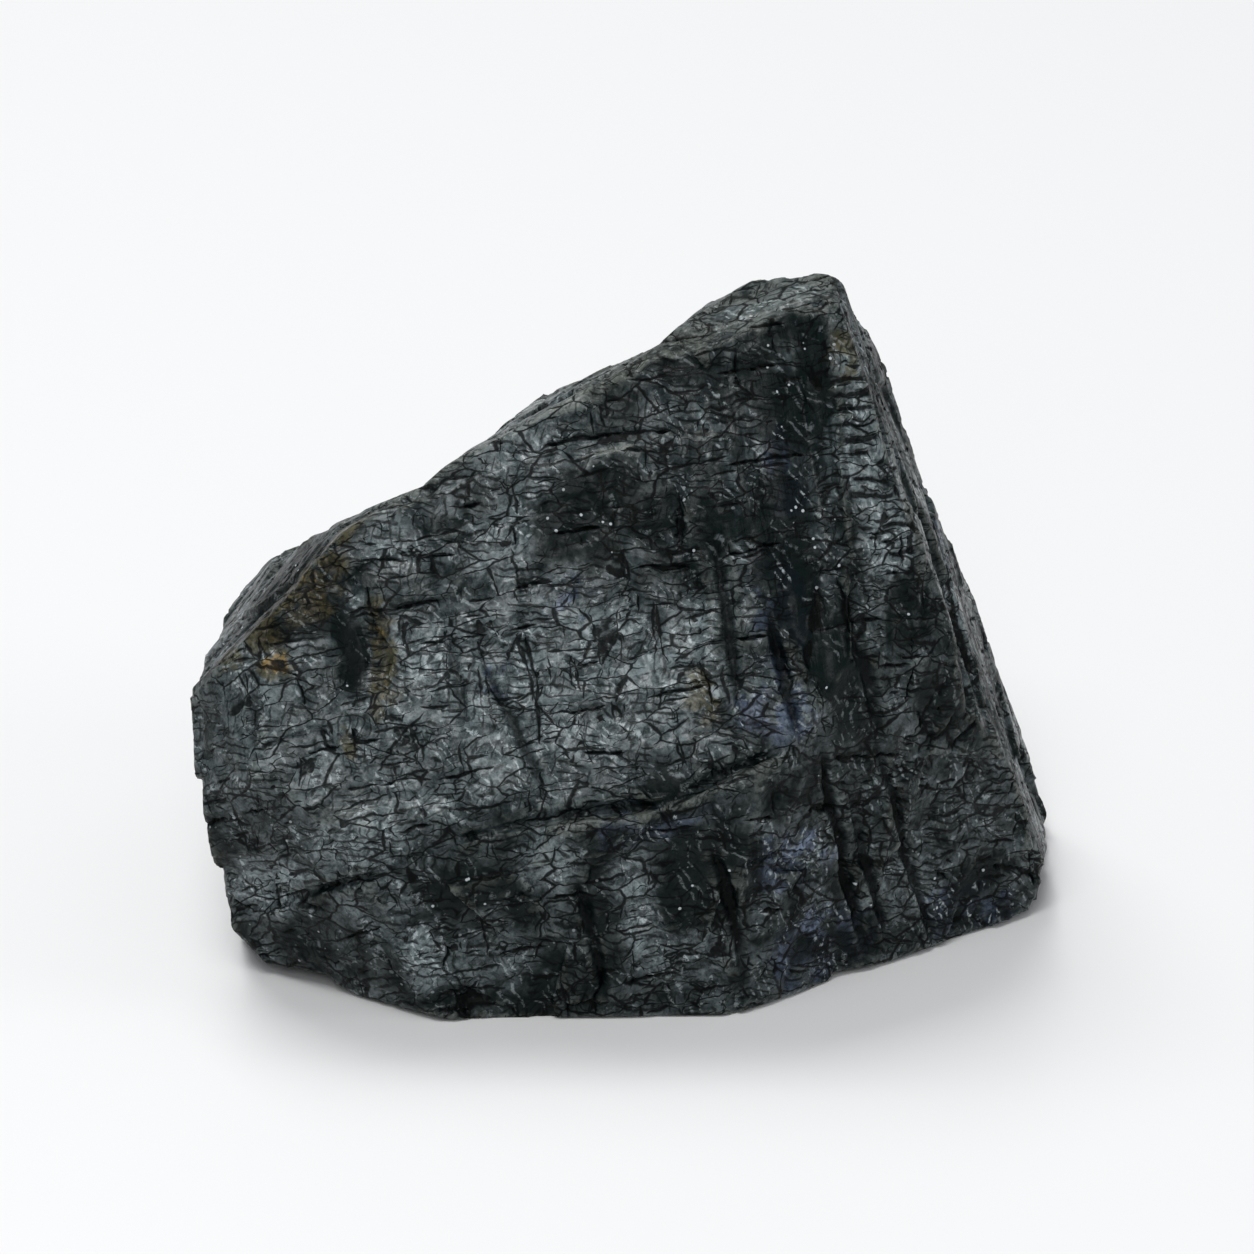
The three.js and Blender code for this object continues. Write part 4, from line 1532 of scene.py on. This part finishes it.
# ---------------------------------------------------------------- the studio


def aimed_at(eye: Vector, target: Vector) -> Euler:
    """The turn that points a lamp or a camera at a target."""
    return (target - eye).to_track_quat("-Z", "Y").to_euler()


@dataclass(frozen=True)
class SoftBox:
    """A square area light.

    Attributes:
        at: Its place in metres.
        size: Its side in metres.
        power: Its power in watts.
    """

    at: tuple[float, float, float]
    size: float
    power: float

    def build(self, target: Vector) -> None:
        """Places the light.

        Args:
            target: The point that it faces.
        """
        light = bpy.data.lights.new("soft box", "AREA")
        light.size = self.size
        light.energy = self.power
        lamp = bpy.data.objects.new("soft box", light)
        lamp.location = self.at
        lamp.rotation_euler = aimed_at(Vector(self.at), target)
        bpy.context.scene.collection.objects.link(lamp)


@dataclass
class Studio:
    """A plain pale floor, soft light from all round, and the camera."""

    floor_size: float = 4.0
    floor_colour: Colour = (0.78, 0.78, 0.78, 1.0)
    floor_roughness: float = 0.6
    sky: Colour = (0.93, 0.96, 1.0, 1.0)
    sky_strength: float = 0.3
    target: Vector = field(default_factory=lambda: Vector((0.0, 0.0, 0.021)))
    eye: Vector = field(default_factory=lambda: Vector((-0.0012, -0.6024, 0.3066)))
    lens: float = 268.0
    far_clip: float = 20.0
    boxes: tuple[SoftBox, ...] = (
        SoftBox(at=(-0.18, -0.5, 1.1), size=0.5, power=6.7),
        SoftBox(at=(-0.25, 0.36, 0.9), size=0.5, power=5.4),
        SoftBox(at=(-0.05, -0.85, 0.6), size=0.3, power=1.5),
        SoftBox(at=(0.9, -0.2, 0.35), size=0.3, power=1.2),
    )

    def build(self) -> None:
        """Sets up the floor, the light and the camera."""
        self.lay_floor()
        self.light()
        self.aim_camera()
        bpy.context.scene.view_settings.view_transform = "Standard"
        LOG.info("studio: %d soft boxes", len(self.boxes))

    def lay_floor(self) -> None:
        """Lays the floor under the stone."""
        bpy.ops.object.select_all(action="DESELECT")
        bpy.ops.mesh.primitive_plane_add(size=self.floor_size, location=(0, 0, 0))
        floor = bpy.context.object
        floor.name = "floor"
        material = bpy.data.materials.new("pale floor")
        material.use_nodes = True
        shader = material.node_tree.nodes["Principled BSDF"]
        shader.inputs["Base Color"].default_value = self.floor_colour
        shader.inputs["Roughness"].default_value = self.floor_roughness
        floor.data.materials.append(material)

    def light(self) -> None:
        """Lights the scene from all round, and more from the soft boxes."""
        world = bpy.data.worlds.new("studio")
        world.use_nodes = True
        background = world.node_tree.nodes["Background"]
        background.inputs["Color"].default_value = self.sky
        background.inputs["Strength"].default_value = self.sky_strength
        bpy.context.scene.world = world
        for box in self.boxes:
            box.build(self.target)

    def aim_camera(self) -> None:
        """Sets the camera in front of the stone and a little above it."""
        camera = bpy.data.cameras.new("camera")
        camera.lens = self.lens
        camera.clip_end = self.far_clip
        view = bpy.data.objects.new("camera", camera)
        view.location = self.eye
        view.rotation_euler = aimed_at(self.eye, self.target)
        bpy.context.scene.collection.objects.link(view)
        bpy.context.scene.camera = view


def main() -> None:
    """Builds the stone and the studio."""
    logging.basicConfig(level=logging.INFO)
    Stone().build()
    Studio().build()


if __name__ == "__main__":
    main()
